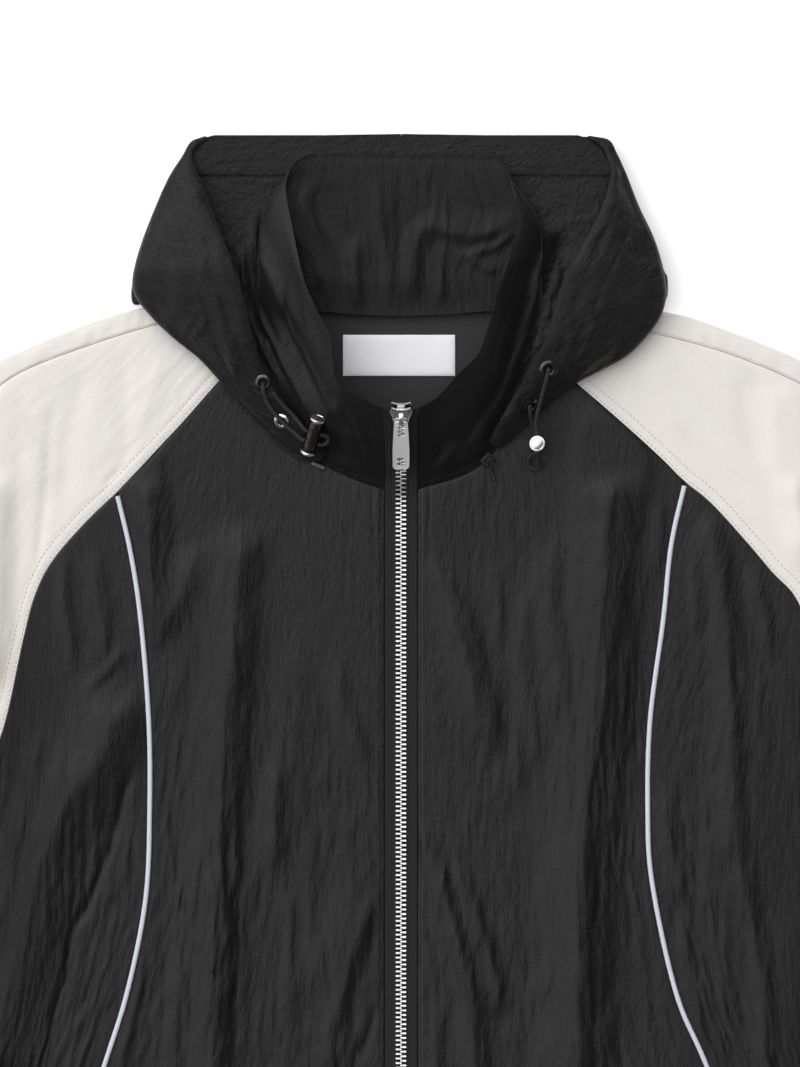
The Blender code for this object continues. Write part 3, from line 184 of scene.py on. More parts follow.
# The collar's free edge, from the zip round the back to the zip: x, y, z of its outer face.
COLLAR_RIM = [
    (-10, 229.8, 45), (-21, 234.5, 46), (-34.8, 242.0, 47), (-39.6, 250, 47), (-41, 262, 46),
    (-42.6, 274, 45), (-50, 288, 42), (-58, 307, 37), (-64.8, 337, 28), (-69.2, 364, 19),
    (-64.5, 377, 15), (-52.8, 382, 12.4), (-26, 382.2, 11.4), (0, 381.9, 11.2), (28, 381.2, 11.4),
    (54, 380.4, 12.6), (62.4, 376, 15.5), (67.0, 362, 21), (69.6, 345, 26), (65.5, 322, 33),
    (59, 302, 38), (53, 281, 43), (46.5, 263, 45), (34, 250.0, 46), (21.6, 236.5, 46),
    (10, 229.8, 45),
]
COLLAR_CENTER = np.array([0.0, 262.0])
COLLAR_BULGE = 13.0
COLLAR_BELLY = 3.0
COLLAR_BUCKLE = 1.8
COLLAR_CURVE = 1.15
COLLAR_LIE = 0.15
COLLAR_CORNER = (0.2, 0.065)
COLLAR_CLEARANCE = 0.6
COLLAR_SPRING = 0.6
COLLAR_MATCH = [
    # seam, free edge
    (0, 0), (0.152, 0.119), (0.312, 0.209), (0.468, 0.289), (0.549, 0.357), (0.62, 0.472),
    (0.667, 0.634), (0.713, 0.715), (1, 1),
]
NECK_INSET = 0.8

# Sections across each half of the hood, from the top of its mouth round to the zip.
HOOD_SECTIONS = {
    "left": [
        # inner x, y, edge x, y, rim x, y, z, fold radius
        (0, 395.2, -118.6, 393.4, -115.4, 393.0, 11.0, 1.8),
        (0, 388, -126.0, 390.4, -121.0, 388.0, 11.9, 2.3),
        (0, 379, -131.0, 382.0, -125.2, 382.0, 12.5, 2.4),
        (0, 356, -139.8, 367.9, -119.4, 366.1, 19.0, 3.4),
        (0, 332, -149.4, 345.7, -111.0, 343.3, 26.0, 5.0),
        (0, 312, -155.5, 329.5, -104.7, 328.0, 30.0, 5.8),
        (-6, 293.5, -159.4, 316.0, -100.3, 315.0, 32.0, 6.0),
        (-40, 289.6, -160.9, 305.0, -96.4, 304.0, 33.2, 6.0),
        (-66, 291, -158.6, 296.6, -93.0, 293.0, 34.0, 5.6),
        (-80, 289.6, -152.0, 288.2, -90.6, 282.0, 33.0, 5.0),
        (-88.5, 282, -143.4, 279.0, -88.0, 271.0, 31.5, 4.6),
        (-91, 271, -133.2, 270.1, -85.8, 263.0, 29.5, 4.2),
        (-89, 259, -121.2, 260.5, -82.6, 254.5, 27.5, 3.8),
        (-86, 247, -109.4, 247.9, -77.6, 245.5, 25.5, 3.8),
        (-81.6, 233.6, -95.2, 231.8, -71.4, 236.0, 23.5, 3.6),
        (-72.4, 220, -80.4, 217.2, -63.4, 226.6, 21.0, 3.2),
        (-59.2, 207.6, -66.0, 206.2, -53.2, 215.2, 17.6, 2.7),
        (-46.0, 197.9, -51.8, 199.0, -44.4, 202.8, 13.0, 2.4),
    ],
    "right": [
        (0, 395.2, 114.2, 393.6, 110.8, 393.2, 11.0, 1.8),
        (0, 388, 124.6, 391.6, 119.4, 388.4, 12.1, 2.3),
        (0, 379, 129.2, 384.0, 123.4, 381.4, 12.8, 2.4),
        (0, 356, 134.8, 371.8, 125.6, 371.0, 17.5, 3.0),
        (0, 334, 142.4, 352.3, 120.6, 352.5, 24.0, 4.4),
        (0, 314, 151.0, 334.0, 112.0, 334.5, 29.0, 5.6),
        (6, 293.5, 156.4, 317.5, 103.0, 317.5, 32.5, 6.2),
        (40, 289.6, 158.8, 304.0, 96.0, 304.5, 34.0, 6.2),
        (66, 291, 158.4, 294.6, 92.4, 293.0, 35.0, 6.0),
        (80, 289.6, 154.8, 284.4, 88.8, 281.0, 34.0, 5.4),
        (88.5, 282, 147.0, 273.8, 85.0, 270.0, 33.5, 5.0),
        (91, 271, 136.0, 262.6, 80.8, 261.5, 32.5, 4.6),
        (88.5, 258, 122.0, 254.5, 76.2, 251.5, 31.0, 4.2),
        (84.5, 247, 105.0, 245.6, 70.6, 243.0, 29.0, 4.4),
        (78.6, 234.8, 90.0, 234.4, 64.4, 233.2, 27.0, 4.2),
        (69.6, 221.4, 78.4, 223.4, 58.6, 222.5, 24.0, 3.4),
        (60.6, 211.0, 67.6, 213.4, 54.8, 215.6, 19.6, 2.8),
        (54.4, 205.2, 60.8, 207.2, 52.6, 210.6, 15.4, 2.4),
    ],
}
HOOD_CROWN = 2.5
HOOD_DIP = (4.1, 22.0)
HOOD_UNDER_OUTLINE = [
    (-108, 392.0), (0, 393.4), (104, 392.0), (119, 386), (130, 370), (141, 350), (151, 330),
    (158, 313), (159.8, 309), (159.4, 297), (154, 299.5), (130, 307), (102, 317), (84, 318), (40, 313),
    (0, 311),
    (-40, 313), (-84, 318), (-102, 317), (-130, 308), (-148, 300), (-153.5, 294.2), (-160.6, 293.4),
    (-161.4, 304), (-157, 322), (-148, 345), (-137, 365), (-126, 384),
]
HOOD_UNDER_LAYERS = [
    # z, inset
    (0.0, 1.6), (0.7, 0.4), (2.0, 0.2), (2.5, 1.6), (3.1, 0.3), (4.3, 0.0), (4.8, 1.4), (5.4, 0.3),
    (6.2, 0.5), (6.6, 1.8),
]
FACING_ROWS = [
    # y, left x, right x
    (370.2, -134.0, 130.0), (378.0, -129.6, 125.6), (386.0, -124.0, 119.6), (390.0, -121.4, 114.6),
    (393.0, -117.0, 110.0), (394.4, -112.0, 106.0),
]
LINING_BACK = [(-64, 289), (-40, 287.9), (0, 286.4), (40, 287.9), (64, 289)]
LINING_FRONT = [(-70, 262), (-52, 232), (0, 212), (52, 232), (70, 262)]

# Drawcord routes, chosen along each cord from its first eyelet through the lock and back.
CORD_ROUTES = {
    "left": [
        (-82.4, 245.4, 27.2), (-82.2, 241.0, 27.8), (-80.6, 235.6, 25.9), (-77.5, 230.0, 24.6),
        (-73.4, 225.0, 24.1), (-69.0, 220.5, 23.4), (-64.2, 216.2, 23.2), (-58.84, 211.8, 24.06),
        (-53.85, 210.35, 24.06),
        (-48.86, 208.9, 24.06), (-45.4, 209.0, 24.3), (-43.6, 211.4, 25.4), (-44.4, 213.8, 26.6),
        (-47.13, 214.58, 27.14), (-52.12, 216.04, 27.14), (-57.11, 217.5, 27.14), (-60.6, 221.6, 25.8),
        (-64.4, 226.4, 24.6), (-70.2, 232.2, 25.2), (-74.4, 237.2, 26.4), (-76.0, 240.2, 27.0),
    ],
    "right": [
        (88.2, 254.4, 33.0), (87.2, 250.0, 33.2), (86.0, 245.4, 31.8), (83.4, 235.4, 28.6),
        (80.8, 224.6, 24.6),
        (80.4, 219.0, 22.2), (81.1, 214.7, 21.2), (81.3, 209.5, 21.15), (81.3, 204.3, 21.0),
        (82.6, 200.4, 17.5),
        (83.6, 197.0, 12.0), (81.4, 194.4, 8.6), (77.4, 195.4, 8.0), (76.0, 199.0, 8.6), (78.2, 202.6, 11.4),
        (81.0, 204.4, 14.2), (81.3, 209.5, 14.45), (81.2, 214.6, 14.6), (79.2, 219.4, 18.0),
        (77.6, 225.0, 23.2),
        (77.0, 229.4, 26.4), (77.15, 232.6, 26.9),
    ],
}
HOOD_PULL_ROUTE = [
    (54.0, 198.4, 12.2), (54.5, 196.0, 11.2), (54.9, 193.6, 8.2), (55.4, 190.4, 6.6), (55.9, 186.8, 7.4),
]

EYELETS = [
    # name, side, x, y, outer diameter, finish
    ("eyelet_left_upper", "left", -82.4, 245.4, 9.8, "dark"),
    # The lower left eyelet takes the bright metal and the others the dark one, though all four are the same
    # eyelet: a painted highlight.
    ("eyelet_left_lower", "left", -71.2, 222.9, 9.4, "bright"),
    ("eyelet_right_upper", "right", 88.2, 254.4, 10.8, "dark"),
    ("eyelet_right_lower", "right", 77.1, 233.0, 10.2, "dark"),
]


# Lines and sheets of points.
def smooth_line(points, per_span=12):
    """A Catmull-Rom line through the points."""
    knots = np.array(points, float)
    knots = np.vstack([2 * knots[0] - knots[1], knots, 2 * knots[-1] - knots[-2]])
    line = []
    for before, start, end, after in zip(knots, knots[1:], knots[2:], knots[3:]):
        for t in np.arange(per_span) / per_span:
            linear = (end - before) * t
            square = (2 * before - 5 * start + 4 * end - after) * t**2
            cube = (3 * start - before - 3 * end + after) * t**3
            line.append(0.5 * (2 * start + linear + square + cube))
    line.append(knots[-2])
    return np.array(line)


def run_of(line):
    """The length along the line at each of its points."""
    steps = np.linalg.norm(np.diff(line, axis=0), axis=1)
    return np.concatenate([[0.0], np.cumsum(steps)])


def at_length(line, lengths):
    """The points of the line at these lengths along it."""
    run = run_of(line)
    return np.column_stack([np.interp(lengths, run, column) for column in line.T])


def at_share(line, shares):
    return at_length(line, np.array(shares) * run_of(line)[-1])


def ease(t):
    """0 to 1 with soft ends."""
    t = np.clip(t, 0.0, 1.0)
    return t * t * (3 - 2 * t)


def mix(a, b, t):
    return a * (1 - t) + b * t


def hump(away, half_width):
    """1 at no distance, falling off softly to both sides."""
    return np.exp(-((away / half_width) ** 2))


def evened(values, reach):
    """The running mean over this many places to each side."""
    count = 2 * reach + 1
    return np.convolve(np.pad(values, reach, mode="edge"), np.ones(count) / count, "valid")


# How far the first points of a panel lie from its edge.
CROWD = (0.35, 0.9, 1.7, 2.8)


def shares(length, step):
    """Shares of a length from 0 to 1, a step apart and closer together near both ends."""
    crowd = np.array(CROWD)
    count = max(2, round((length - 2 * crowd[-1]) / step))
    middle = np.linspace(crowd[-1], length - crowd[-1], count + 1)
    return np.concatenate([[0], crowd[:-1], middle, length - crowd[-2::-1], [length]]) / length


LINES = {
    name: {side: smooth_line(points) for side, points in table.items()}
    for name, table in {
        "neck": NECK_SEAM,
        "neck_side": NECK_SIDE,
        "neck_back": NECK_BACK,
        "raglan_upper": RAGLAN_UPPER,
        "raglan_lower": RAGLAN_LOWER,
        "piping": PIPING,
        "side": SIDE_SEAM,
        "underarm": UNDERARM,
        "overarm": OVERARM,
        "outline": OUTLINE,
    }.items()
}
CLOSED_EDGES = [LINES[name][side] for name in ("side", "underarm", "outline") for side in SIDES]

# How much the front's underside rises near an edge and further in, each with its reach.
EDGE_RISE = (1.4, 2.5)
INNER_RISE = (1.0, 25.0)
FOLD_EDGE_FADE = 22.0
FOLD_SHARE = 0.45
FOLD_END = 0.3
ZIP_FADE = 30.0
# Height, y and reach of the swell below the neck.
NECK_LIFT = (2.0, 186.0, 46.0)
FRONT_TOP_LIMIT = 6.6
HOOD_AREA_Y = (150.0, 190.0)
TINY = 1e-12
POINTS_AT_ONCE = 4000


def distance_to(points, line):
    """Shortest distance from each point to a line in the plane."""
    start, span = line[:-1], np.diff(line, axis=0)
    span_square = np.maximum((span * span).sum(1), TINY)
    nearest = np.full(len(points), np.inf)
    for low in range(0, len(points), POINTS_AT_ONCE):
        some = slice(low, low + POINTS_AT_ONCE)
        offset = points[some, None, :] - start[None]
        share = np.clip((offset * span).sum(2) / span_square, 0, 1)
        gap = offset - share[..., None] * span
        nearest[some] = np.sqrt((gap * gap).sum(2).min(1))
    return nearest


def fold_height(points):
    """Broad ridges at these points."""
    total = np.zeros(len(points))
    for x1, y1, x2, y2, height, half_width in FOLDS:
        start, span = np.array([x1, y1]), np.array([x2 - x1, y2 - y1])
        offset = points - start
        along = (offset @ span) / (span @ span)
        across = np.abs(span[0] * offset[:, 1] - span[1] * offset[:, 0]) / np.linalg.norm(span)
        ends = ease(along / FOLD_END) * ease((1 - along) / FOLD_END)
        total += FOLD_SHARE * height * ends * hump(across, half_width)
    return total


def front_height(points, away=None):
    """Height of the front's underside at these points."""
    points = np.atleast_2d(np.array(points, float))
    if away is None:
        away = np.min([distance_to(points, line[::3]) for line in CLOSED_EDGES], axis=0)
    rise = sum(amount * (1 - np.exp(-away / reach)) for amount, reach in (EDGE_RISE, INNER_RISE))
    flat_zip = ease((np.abs(points[:, 0]) - ZIP_EDGE_X) / ZIP_FADE)
    folds = fold_height(points) * (1 - np.exp(-away / FOLD_EDGE_FADE)) * flat_zip
    lift, lift_y, reach = NECK_LIFT
    neck = lift * hump(np.hypot(points[:, 0], points[:, 1] - lift_y), reach)
    covered = ease((points[:, 1] - HOOD_AREA_Y[0]) / (HOOD_AREA_Y[1] - HOOD_AREA_Y[0]))
    wanted = PANEL_START + rise + folds + neck
    return mix(wanted, np.minimum(wanted, FRONT_TOP_LIMIT - WALL), covered)


def unit(ways):
    """The ways along the last axis, each with a length of 1."""
    return ways / np.maximum(np.linalg.norm(ways, axis=-1), 1e-9)[..., None]


def grid_normals(grid):
    """Unit normals of a grid of points in space."""
    return unit(np.cross(np.gradient(grid, axis=0), np.gradient(grid, axis=1)))


def smoothed_normals(grid, passes):
    normal = grid_normals(grid)
    for _ in range(passes):
        normal[1:-1] = (normal[:-2] + 2 * normal[1:-1] + normal[2:]) / 4
        normal[:, 1:-1] = (normal[:, :-2] + 2 * normal[:, 1:-1] + normal[:, 2:]) / 4
    return unit(normal)


def turned_up(normals, at):
    """The normals of a grid, all turned over if the one at this place looks down."""
    return -normals if normals[at][2] < 0 else normals


def patch(bottom, top, left, right, across, up):
    """Coons patch between four border lines, with these shares across and up."""
    u, v = across[None, :, None], up[:, None, None]
    sides = mix(bottom[None], top[None], v) + mix(left[:, None], right[:, None], u)
    return sides - mix(mix(bottom[0], bottom[-1], u), mix(top[0], top[-1], u), v)


# Seeds of the random creases on the left and the right.
SEEDS = {
    "front_center": (21, 35),
    "front_side": (51, 67),
    "sleeve_front": (83, 97),
    "piping": (171, 173),
    "hood": (181, 193),
    "zip_tape": (251, 257),
    "inner_fold": (271, 277),
}


def seed_of(part, side):
    return SEEDS[part][SIDES.index(side)]


# Creases.
def noise(x, y, seed):
    """Smooth random values, about -1 to 1, the same each run."""
    column, row = np.floor(x).astype(np.int64), np.floor(y).astype(np.int64)
    right, up = x - column, y - row

    def corner(i, j):
        mixed = (column + i) * 374761393 + (row + j) * 668265263 + seed * 144665
        mixed = ((mixed ^ (mixed >> 13)) * 1274126177) & 0x7FFFFFFF
        angle = ((mixed ^ (mixed >> 16)) % 4096) * (2 * math.pi / 4096)
        return np.cos(angle) * (right - i) + np.sin(angle) * (up - j)

    u, v = ease(right), ease(up)
    return 1.6 * mix(mix(corner(0, 0), corner(1, 0), u), mix(corner(0, 1), corner(1, 1), u), v)


def uneven(run, pitch, seed):
    """Smooth random values along a line, one rise and fall in about this length."""
    return noise(run / pitch, run * 0, seed)


def crinkle(across, along, seed, width=5.4, length=25.0):
    """Uneven little creases, about half a millimetre high, of this width and length along the cloth."""
    bend = 0.8 * noise(across / 47, along / 83, seed + 1)
    broad = noise(across / width + bend, along / length, seed)
    middle = noise(across / width * 1.9 + 1.6 * bend, along / length * 1.7, seed + 2)
    crest = 1 - np.abs(noise(across / width * 0.9 + bend, along / length * 0.8, seed + 3))
    patches = ease(0.5 + 0.9 * noise(across / 61, along / 128, seed + 4))
    return (0.42 * broad + 0.2 * middle + 0.5 * (crest**5 - 0.3)) * (0.35 + 0.65 * patches)


def nearest_on(points, line):
    """Distance to a line, which side of it each point is on, and the share of the line's length there."""
    start, span = line[:-1], np.diff(line, axis=0)
    offset = points[:, None, :] - start[None]
    share = np.clip((offset * span).sum(2) / np.maximum((span * span).sum(1), TINY), 0, 1)
    gap = offset - share[..., None] * span
    square = (gap * gap).sum(2)
    at = square.argmin(1)
    row = np.arange(len(points))
    side = span[at, 0] * offset[row, at, 1] - span[at, 1] * offset[row, at, 0]
    run = run_of(line)
    place = (run[at] + share[row, at] * (run[at + 1] - run[at])) / run[-1]
    return np.sqrt(square[row, at]), np.sign(side), place


CREASE_TAPER = 24.0
CREASE_REACH = 2.6
TENT_FOOT = 1.65
TENT_SOFT = 0.10


def tent(away):
    """A ridge's section, 1 at its crest and 0 past its foot, with flat flanks and rounded corners."""
    flank = 1 - np.sqrt(away * away + 0.015) / TENT_FOOT
    return TENT_SOFT * np.logaddexp(0, flank / TENT_SOFT)


def crease_lines(points, table, stray=1.0):
    """Listed creases with uneven edges: a height, two half widths and the line's points each."""
    total = np.zeros(len(points))
    x, y = points.T
    sideways = noise(x / 6, y / 34, 301) + 0.5 * noise(x / 2.7, y / 13, 303)
    strays = stray * np.column_stack([sideways, noise(x / 11, y / 19, 305)])
    for height, left, right, *route in table:
        line = smooth_line(route, 5) if len(route) > 2 else np.array(route, float)
        reach = CREASE_REACH * max(left, right)
        near = ((points > line.min(0) - reach) & (points < line.max(0) + reach)).all(1)
        if not near.any():
            continue
        away, side, place = nearest_on(points[near] + strays[near], line)
        taper = min(0.3, CREASE_TAPER / run_of(line)[-1])
        fade = ease(place / taper) * ease((1 - place) / taper)
        ends = np.where((place <= 0) | (place >= 1), 0.0, 1.0)
        total[near] += height * fade * ends * tent(away / np.where(side > 0, left, right))
    return total


# Meshes.
MATERIALS = {}


def mesh_piece(name, points, faces, finish, uv=None, node=None):
    """A smooth-shaded piece from points in millimetres, in the place of a solid if it has one."""
    mesh = bpy.data.meshes.new(name)
    mesh.from_pydata([tuple(point) for point in np.array(points) * MM], [], [tuple(face) for face in faces])
    if uv is not None:
        layer = mesh.uv_layers.new(name="cloth")
        corners = np.empty(len(mesh.loops), np.int32)
        mesh.loops.foreach_get("vertex_index", corners)
        layer.data.foreach_set("uv", (np.array(uv)[corners] * MM).astype(np.float32).ravel())
    mesh.shade_smooth()
    piece = bpy.data.objects.new(name, mesh)
    bpy.context.scene.collection.objects.link(piece)
    dress(piece, finish)
    if node:
        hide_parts(node)
    return piece


def dress(piece, finish, body="jacket"):
    """Gives a piece its material and its body."""
    piece.data.materials.clear()
    piece.data.materials.append(MATERIALS[finish])
    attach(piece, body)


def sharpen(piece, angle):
    piece.data.set_sharp_from_angle(angle=math.radians(angle))


def quads(rows, columns, start=0, flip=False):
    """Faces of a grid of points numbered row by row."""
    at = start + np.arange(rows * columns).reshape(rows, columns)
    faces = np.stack([at[:-1, :-1], at[:-1, 1:], at[1:, 1:], at[1:, :-1]], axis=2).reshape(-1, 4)
    return faces[:, ::-1] if flip else faces


def tube_faces(rows, sides):
    """Faces between rings of points numbered ring by ring, with the numbers in each ring."""
    at = np.arange(rows * sides).reshape(rows, sides)
    beside = np.roll(at, -1, axis=1)
    faces = np.stack([at[:-1], beside[:-1], beside[1:], at[1:]], axis=2).reshape(-1, 4)
    return [tuple(face) for face in faces.tolist()], at.tolist()


def border_ring(rows, columns):
    """Numbers of the border points of a grid, in order round it."""
    at = np.arange(rows * columns).reshape(rows, columns)
    return np.concatenate([at[0], at[1:, -1], at[-1, -2::-1], at[-2:0:-1, 0]])


def cloth_wall(outer, inner, uv):
    """Points, faces and map of a thin closed wall of cloth between two grids of points."""
    rows, columns = outer.shape[:2]
    flip = ((grid_normals(outer) * (outer - inner)).sum(2)).mean() < 0
    count = rows * columns
    ring = border_ring(rows, columns)
    after = np.roll(ring, -1)
    rim = np.column_stack([ring, ring + count, after + count, after])
    top = quads(rows, columns, 0, not flip)
    under = quads(rows, columns, count, flip)
    faces = np.vstack([top, under, rim if flip else rim[:, ::-1]])
    points = np.vstack([outer.reshape(-1, 3), inner.reshape(-1, 3)])
    return points, faces, np.vstack([uv.reshape(-1, 2)] * 2)


def cloth(name, node, finish, *walls):
    """A piece of cloth from one or more walls of it, each an outer grid, an inner grid and their map."""
    points, faces, maps, count = [], [], [], 0
    for outer, inner, uv in walls:
        wall = cloth_wall(outer, inner, uv)
        points.append(wall[0])
        faces.append(wall[1] + count)
        maps.append(wall[2])
        count += len(wall[0])
    piece = mesh_piece(name, np.vstack(points), np.vstack(faces), finish, np.vstack(maps), node)
    sharpen(piece, 60)
    return piece


def add_node(tree, kind, links=(), **values):
    """A shader node with its properties or socket values set and its inputs linked."""
    node = tree.nodes.new(kind)
    for name, value in values.items():
        if hasattr(node, name):
            setattr(node, name, value)
        else:
            node.inputs[name.replace("_", " ").title()].default_value = value
    for socket, source in dict(links).items():
        tree.links.new(source, node.inputs[socket])
    return node


def new_material(name, color, roughness, metallic=0.0):
    finish = bpy.data.materials.new(name)
    finish.use_nodes = True
    shader = finish.node_tree.nodes["Principled BSDF"]
    shader.inputs["Base Color"].default_value = (*color, 1)
    shader.inputs["Roughness"].default_value = roughness
    shader.inputs["Metallic"].default_value = metallic
    MATERIALS[name] = finish
    return finish.node_tree, shader


def shade_between(tree, factor, dark, light):
    """A colour between two, by a factor socket."""
    ramp = add_node(tree, "ShaderNodeValToRGB", {"Fac": factor})
    ramp.color_ramp.elements[0].color = (*dark, 1)
    ramp.color_ramp.elements[1].color = (*light, 1)
    ramp.color_ramp.elements[0].position = 0.25
    ramp.color_ramp.elements[1].position = 0.75
    return ramp.outputs["Color"]


def pattern(tree, vector, scale, stretch=(1, 1, 1), detail=2.0, rough=0.5):
    """Noise in a stretched space, as a 0 to 1 socket. The scale is in cells a metre."""
    space = add_node(tree, "ShaderNodeMapping", {"Vector": vector}, scale=stretch).outputs["Vector"]
    noise_values = {"scale": scale, "detail": detail, "roughness": rough}
    return add_node(tree, "ShaderNodeTexNoise", {"Vector": space}, **noise_values).outputs["Fac"]


def threads(tree, vector, direction, per_metre):
    """Parallel threads, as a 0 to 1 socket."""
    wave = add_node(
        tree, "ShaderNodeTexWave", {"Vector": vector}, bands_direction=direction,
        scale=per_metre / 20 * math.pi, distortion=0.6,
    )
    return wave.outputs["Fac"]


def blend(tree, operation, first, second):
    node = add_node(tree, "ShaderNodeMath", operation=operation)
    for socket, source in zip(node.inputs, (first, second)):
        if isinstance(source, (int, float)):
            socket.default_value = source
        else:
            tree.links.new(source, socket)
    return node.outputs["Value"]


def ripple(tree, run, pitch):
    """Even waves along a length, as a -1 to 1 socket."""
    return blend(tree, "SINE", blend(tree, "MULTIPLY", run, 2 * math.pi / pitch), 0.0)


def bumps(tree, shader, layers):
    """Stacks bump layers of (height socket, depth in metres) on a shader."""
    normal = None
    for height, depth in layers:
        links = {"Height": height, "Normal": normal} if normal else {"Height": height}
        normal = add_node(tree, "ShaderNodeBump", links, distance=depth).outputs["Normal"]
    tree.links.new(normal, shader.inputs["Normal"])


def rub(tree, shader, wear, amount, roughness):
    """Uneven gloss round a middle roughness."""
    gloss = blend(tree, "ADD", blend(tree, "MULTIPLY", wear, amount), roughness - amount / 2)
    tree.links.new(gloss, shader.inputs["Roughness"])


def weave_relief(tree, uv, grain, weave, crinkle_depth, crumple):
    """Threads both ways and small creases along the cloth, and crumples if it has them."""
    warp, weft = threads(tree, uv, "X", weave), threads(tree, uv, "Y", weave * 0.86)
    fine_creases = pattern(tree, uv, 300, (1, 0.3, 1), 3.0, 0.6)
    streaks = pattern(tree, uv, 700, (1, 0.2, 1), 2.0, 0.5)
    layers = [
        (fine_creases, crinkle_depth), (streaks, crinkle_depth / 3), (grain, 0.00022),
        (blend(tree, "MULTIPLY", warp, weft), 0.00004),
    ]
    if crumple:
        crumpled = pattern(tree, uv, 120, (1, 0.7, 1), 5.0, 0.62)
        crests = blend(tree, "ABSOLUTE", blend(tree, "SUBTRACT", crumpled, 0.5), 0.0)
        layers.insert(0, (crests, crumple))
    return layers


def woven(name, dark, light, roughness, weave=2600, crinkle_depth=0.00022, sheen=0.0, specular=0.5,
          crumple=0.0, relief=None):
    """Light woven cloth of uneven colour and gloss, with the common weave or a relief of its own."""
    tree, shader = new_material(name, light, roughness)
    cloth_uv = add_node(tree, "ShaderNodeUVMap", uv_map="cloth").outputs["UV"]
    grain = pattern(tree, cloth_uv, 1300, (1, 0.6, 1), 2.0, 0.6)
    shade = pattern(tree, cloth_uv, 60, (1, 0.25, 1), 4.0, 0.55)
    mixed = blend(tree, "ADD", blend(tree, "MULTIPLY", grain, 0.6), blend(tree, "MULTIPLY", shade, 0.4))
    tree.links.new(shade_between(tree, mixed, dark, light), shader.inputs["Base Color"])
    rub(tree, shader, pattern(tree, cloth_uv, 25, (1, 0.4, 1), 3.0), 0.12, roughness)
    if relief:
        bumps(tree, shader, relief(tree, cloth_uv))
    else:
        bumps(tree, shader, weave_relief(tree, cloth_uv, grain, weave, crinkle_depth, crumple))
    shader.inputs["Sheen Weight"].default_value = sheen
    shader.inputs["Sheen Roughness"].default_value = 0.4
    shader.inputs["Specular IOR Level"].default_value = specular


def herringbone(tree, uv):
    """The tape's slanted ribs, which turn back every 1.1 mm."""
    parts = add_node(tree, "ShaderNodeSeparateXYZ", {"Vector": uv})
    zigzag = blend(tree, "PINGPONG", parts.outputs["X"], 0.0011)
    return [(ripple(tree, blend(tree, "ADD", parts.outputs["Y"], zigzag), 0.0009), 0.00012)]


def plait(tree, uv):
    """The cord's sleeve: strands that wind both ways."""
    parts = add_node(tree, "ShaderNodeSeparateXYZ", {"Vector": uv})
    strands = []
    for turn in (1, -1):
        round_way = blend(tree, "MULTIPLY", parts.outputs["X"], turn * 1.3)
        twisted = blend(tree, "ADD", parts.outputs["Y"], round_way)
        strands.append(ripple(tree, twisted, 0.0016))
    return [(blend(tree, "MAXIMUM", *strands), 0.00018)]


def metal(name, dark, light, roughness, scratches, metallic=1.0):
    tree, shader = new_material(name, light, roughness, metallic)
    place = add_node(tree, "ShaderNodeTexCoord").outputs["Object"]
    cloudy = pattern(tree, place, 380, detail=4.0)
    tree.links.new(shade_between(tree, cloudy, dark, light), shader.inputs["Base Color"])
    wear = pattern(tree, place, 900, (1, 3, 1), 3.0)
    rub(tree, shader, wear, 0.2, roughness)
    bumps(tree, shader, [(wear, scratches)])


def speckled(name, dark, light, roughness, scale, detail, depth):
    """A dull finish with one fine grain in its colour and its relief."""
    tree, shader = new_material(name, light, roughness)
    place = add_node(tree, "ShaderNodeTexCoord").outputs["Object"]
    speckle = pattern(tree, place, scale, detail=detail)
    tree.links.new(shade_between(tree, speckle, dark, light), shader.inputs["Base Color"])
    bumps(tree, shader, [(speckle, depth)])


def make_materials():
    night = (0.0032, 0.0032, 0.0037), (0.0072, 0.0072, 0.0082)
    # A lighter copy of the same black nylon for the hood and the collar: painted light that lifts their walls
    # and folds, which face away from the light.
    night_painted_lighter = (0.0062, 0.0062, 0.0067), (0.0120, 0.0120, 0.0130)
    cream = (0.80, 0.765, 0.71), (0.88, 0.85, 0.80)
    silver_satin = (0.60, 0.62, 0.70), (0.72, 0.74, 0.80)
    white_satin = (0.90, 0.89, 0.94), (0.96, 0.955, 0.98)
    woven("black", *night, 0.27, crinkle_depth=0.00050, specular=0.28)
    # The hood and the collar take the lighter copy of the black nylon, a painted lift of light.
    woven("hood", *night_painted_lighter, 0.36, crinkle_depth=0.00012, specular=0.20, sheen=0.06, crumple=0.0021)
    woven("collar", *night_painted_lighter, 0.36, crinkle_depth=0.00055, specular=0.18, sheen=0.12)
    woven("cream", *cream, 0.62, crinkle_depth=0.00016, sheen=0.08, specular=0.3)
    woven("piping", *silver_satin, 0.4, weave=1800, crinkle_depth=0.00006, sheen=0.1)
    woven("lining", (0.005, 0.005, 0.006), (0.011, 0.011, 0.012), 0.6, crinkle_depth=0.00012)
    woven("label", *white_satin, 0.42, weave=3400, crinkle_depth=0.00005, sheen=0.1)
    woven("tape", (0.004, 0.004, 0.0045), (0.012, 0.012, 0.013), 0.7, relief=herringbone)
    woven("cord", (0.010, 0.010, 0.011), (0.036, 0.036, 0.038), 0.72, relief=plait)
    metal("bright", (0.72, 0.72, 0.73), (0.88, 0.88, 0.89), 0.2, 0.000003)
    metal("dark", (0.045, 0.045, 0.046), (0.11, 0.11, 0.112), 0.24, 0.000004)
    metal("smoked", (0.03, 0.026, 0.02), (0.13, 0.115, 0.09), 0.16, 0.000003)
    metal("pale", (0.80, 0.79, 0.76), (0.90, 0.89, 0.86), 0.42, 0.000003, metallic=0.15)
    speckled("coil", (0.012, 0.012, 0.013), (0.03, 0.03, 0.032), 0.38, 700, 3.0, 0.00002)
    for name, color in (("black_thread", (0.02, 0.02, 0.022)), ("cream_thread", (0.62, 0.54, 0.48))):
        speckled(name, tuple(value * 0.75 for value in color), color, 0.65, 2600, 2.0, 0.00005)


# Camera, floor and light.
VIEW_CENTER = (-0.6, 155.8)
VIEW_HEIGHT = 640.2
LENS = 300.0
SENSOR = 36.0

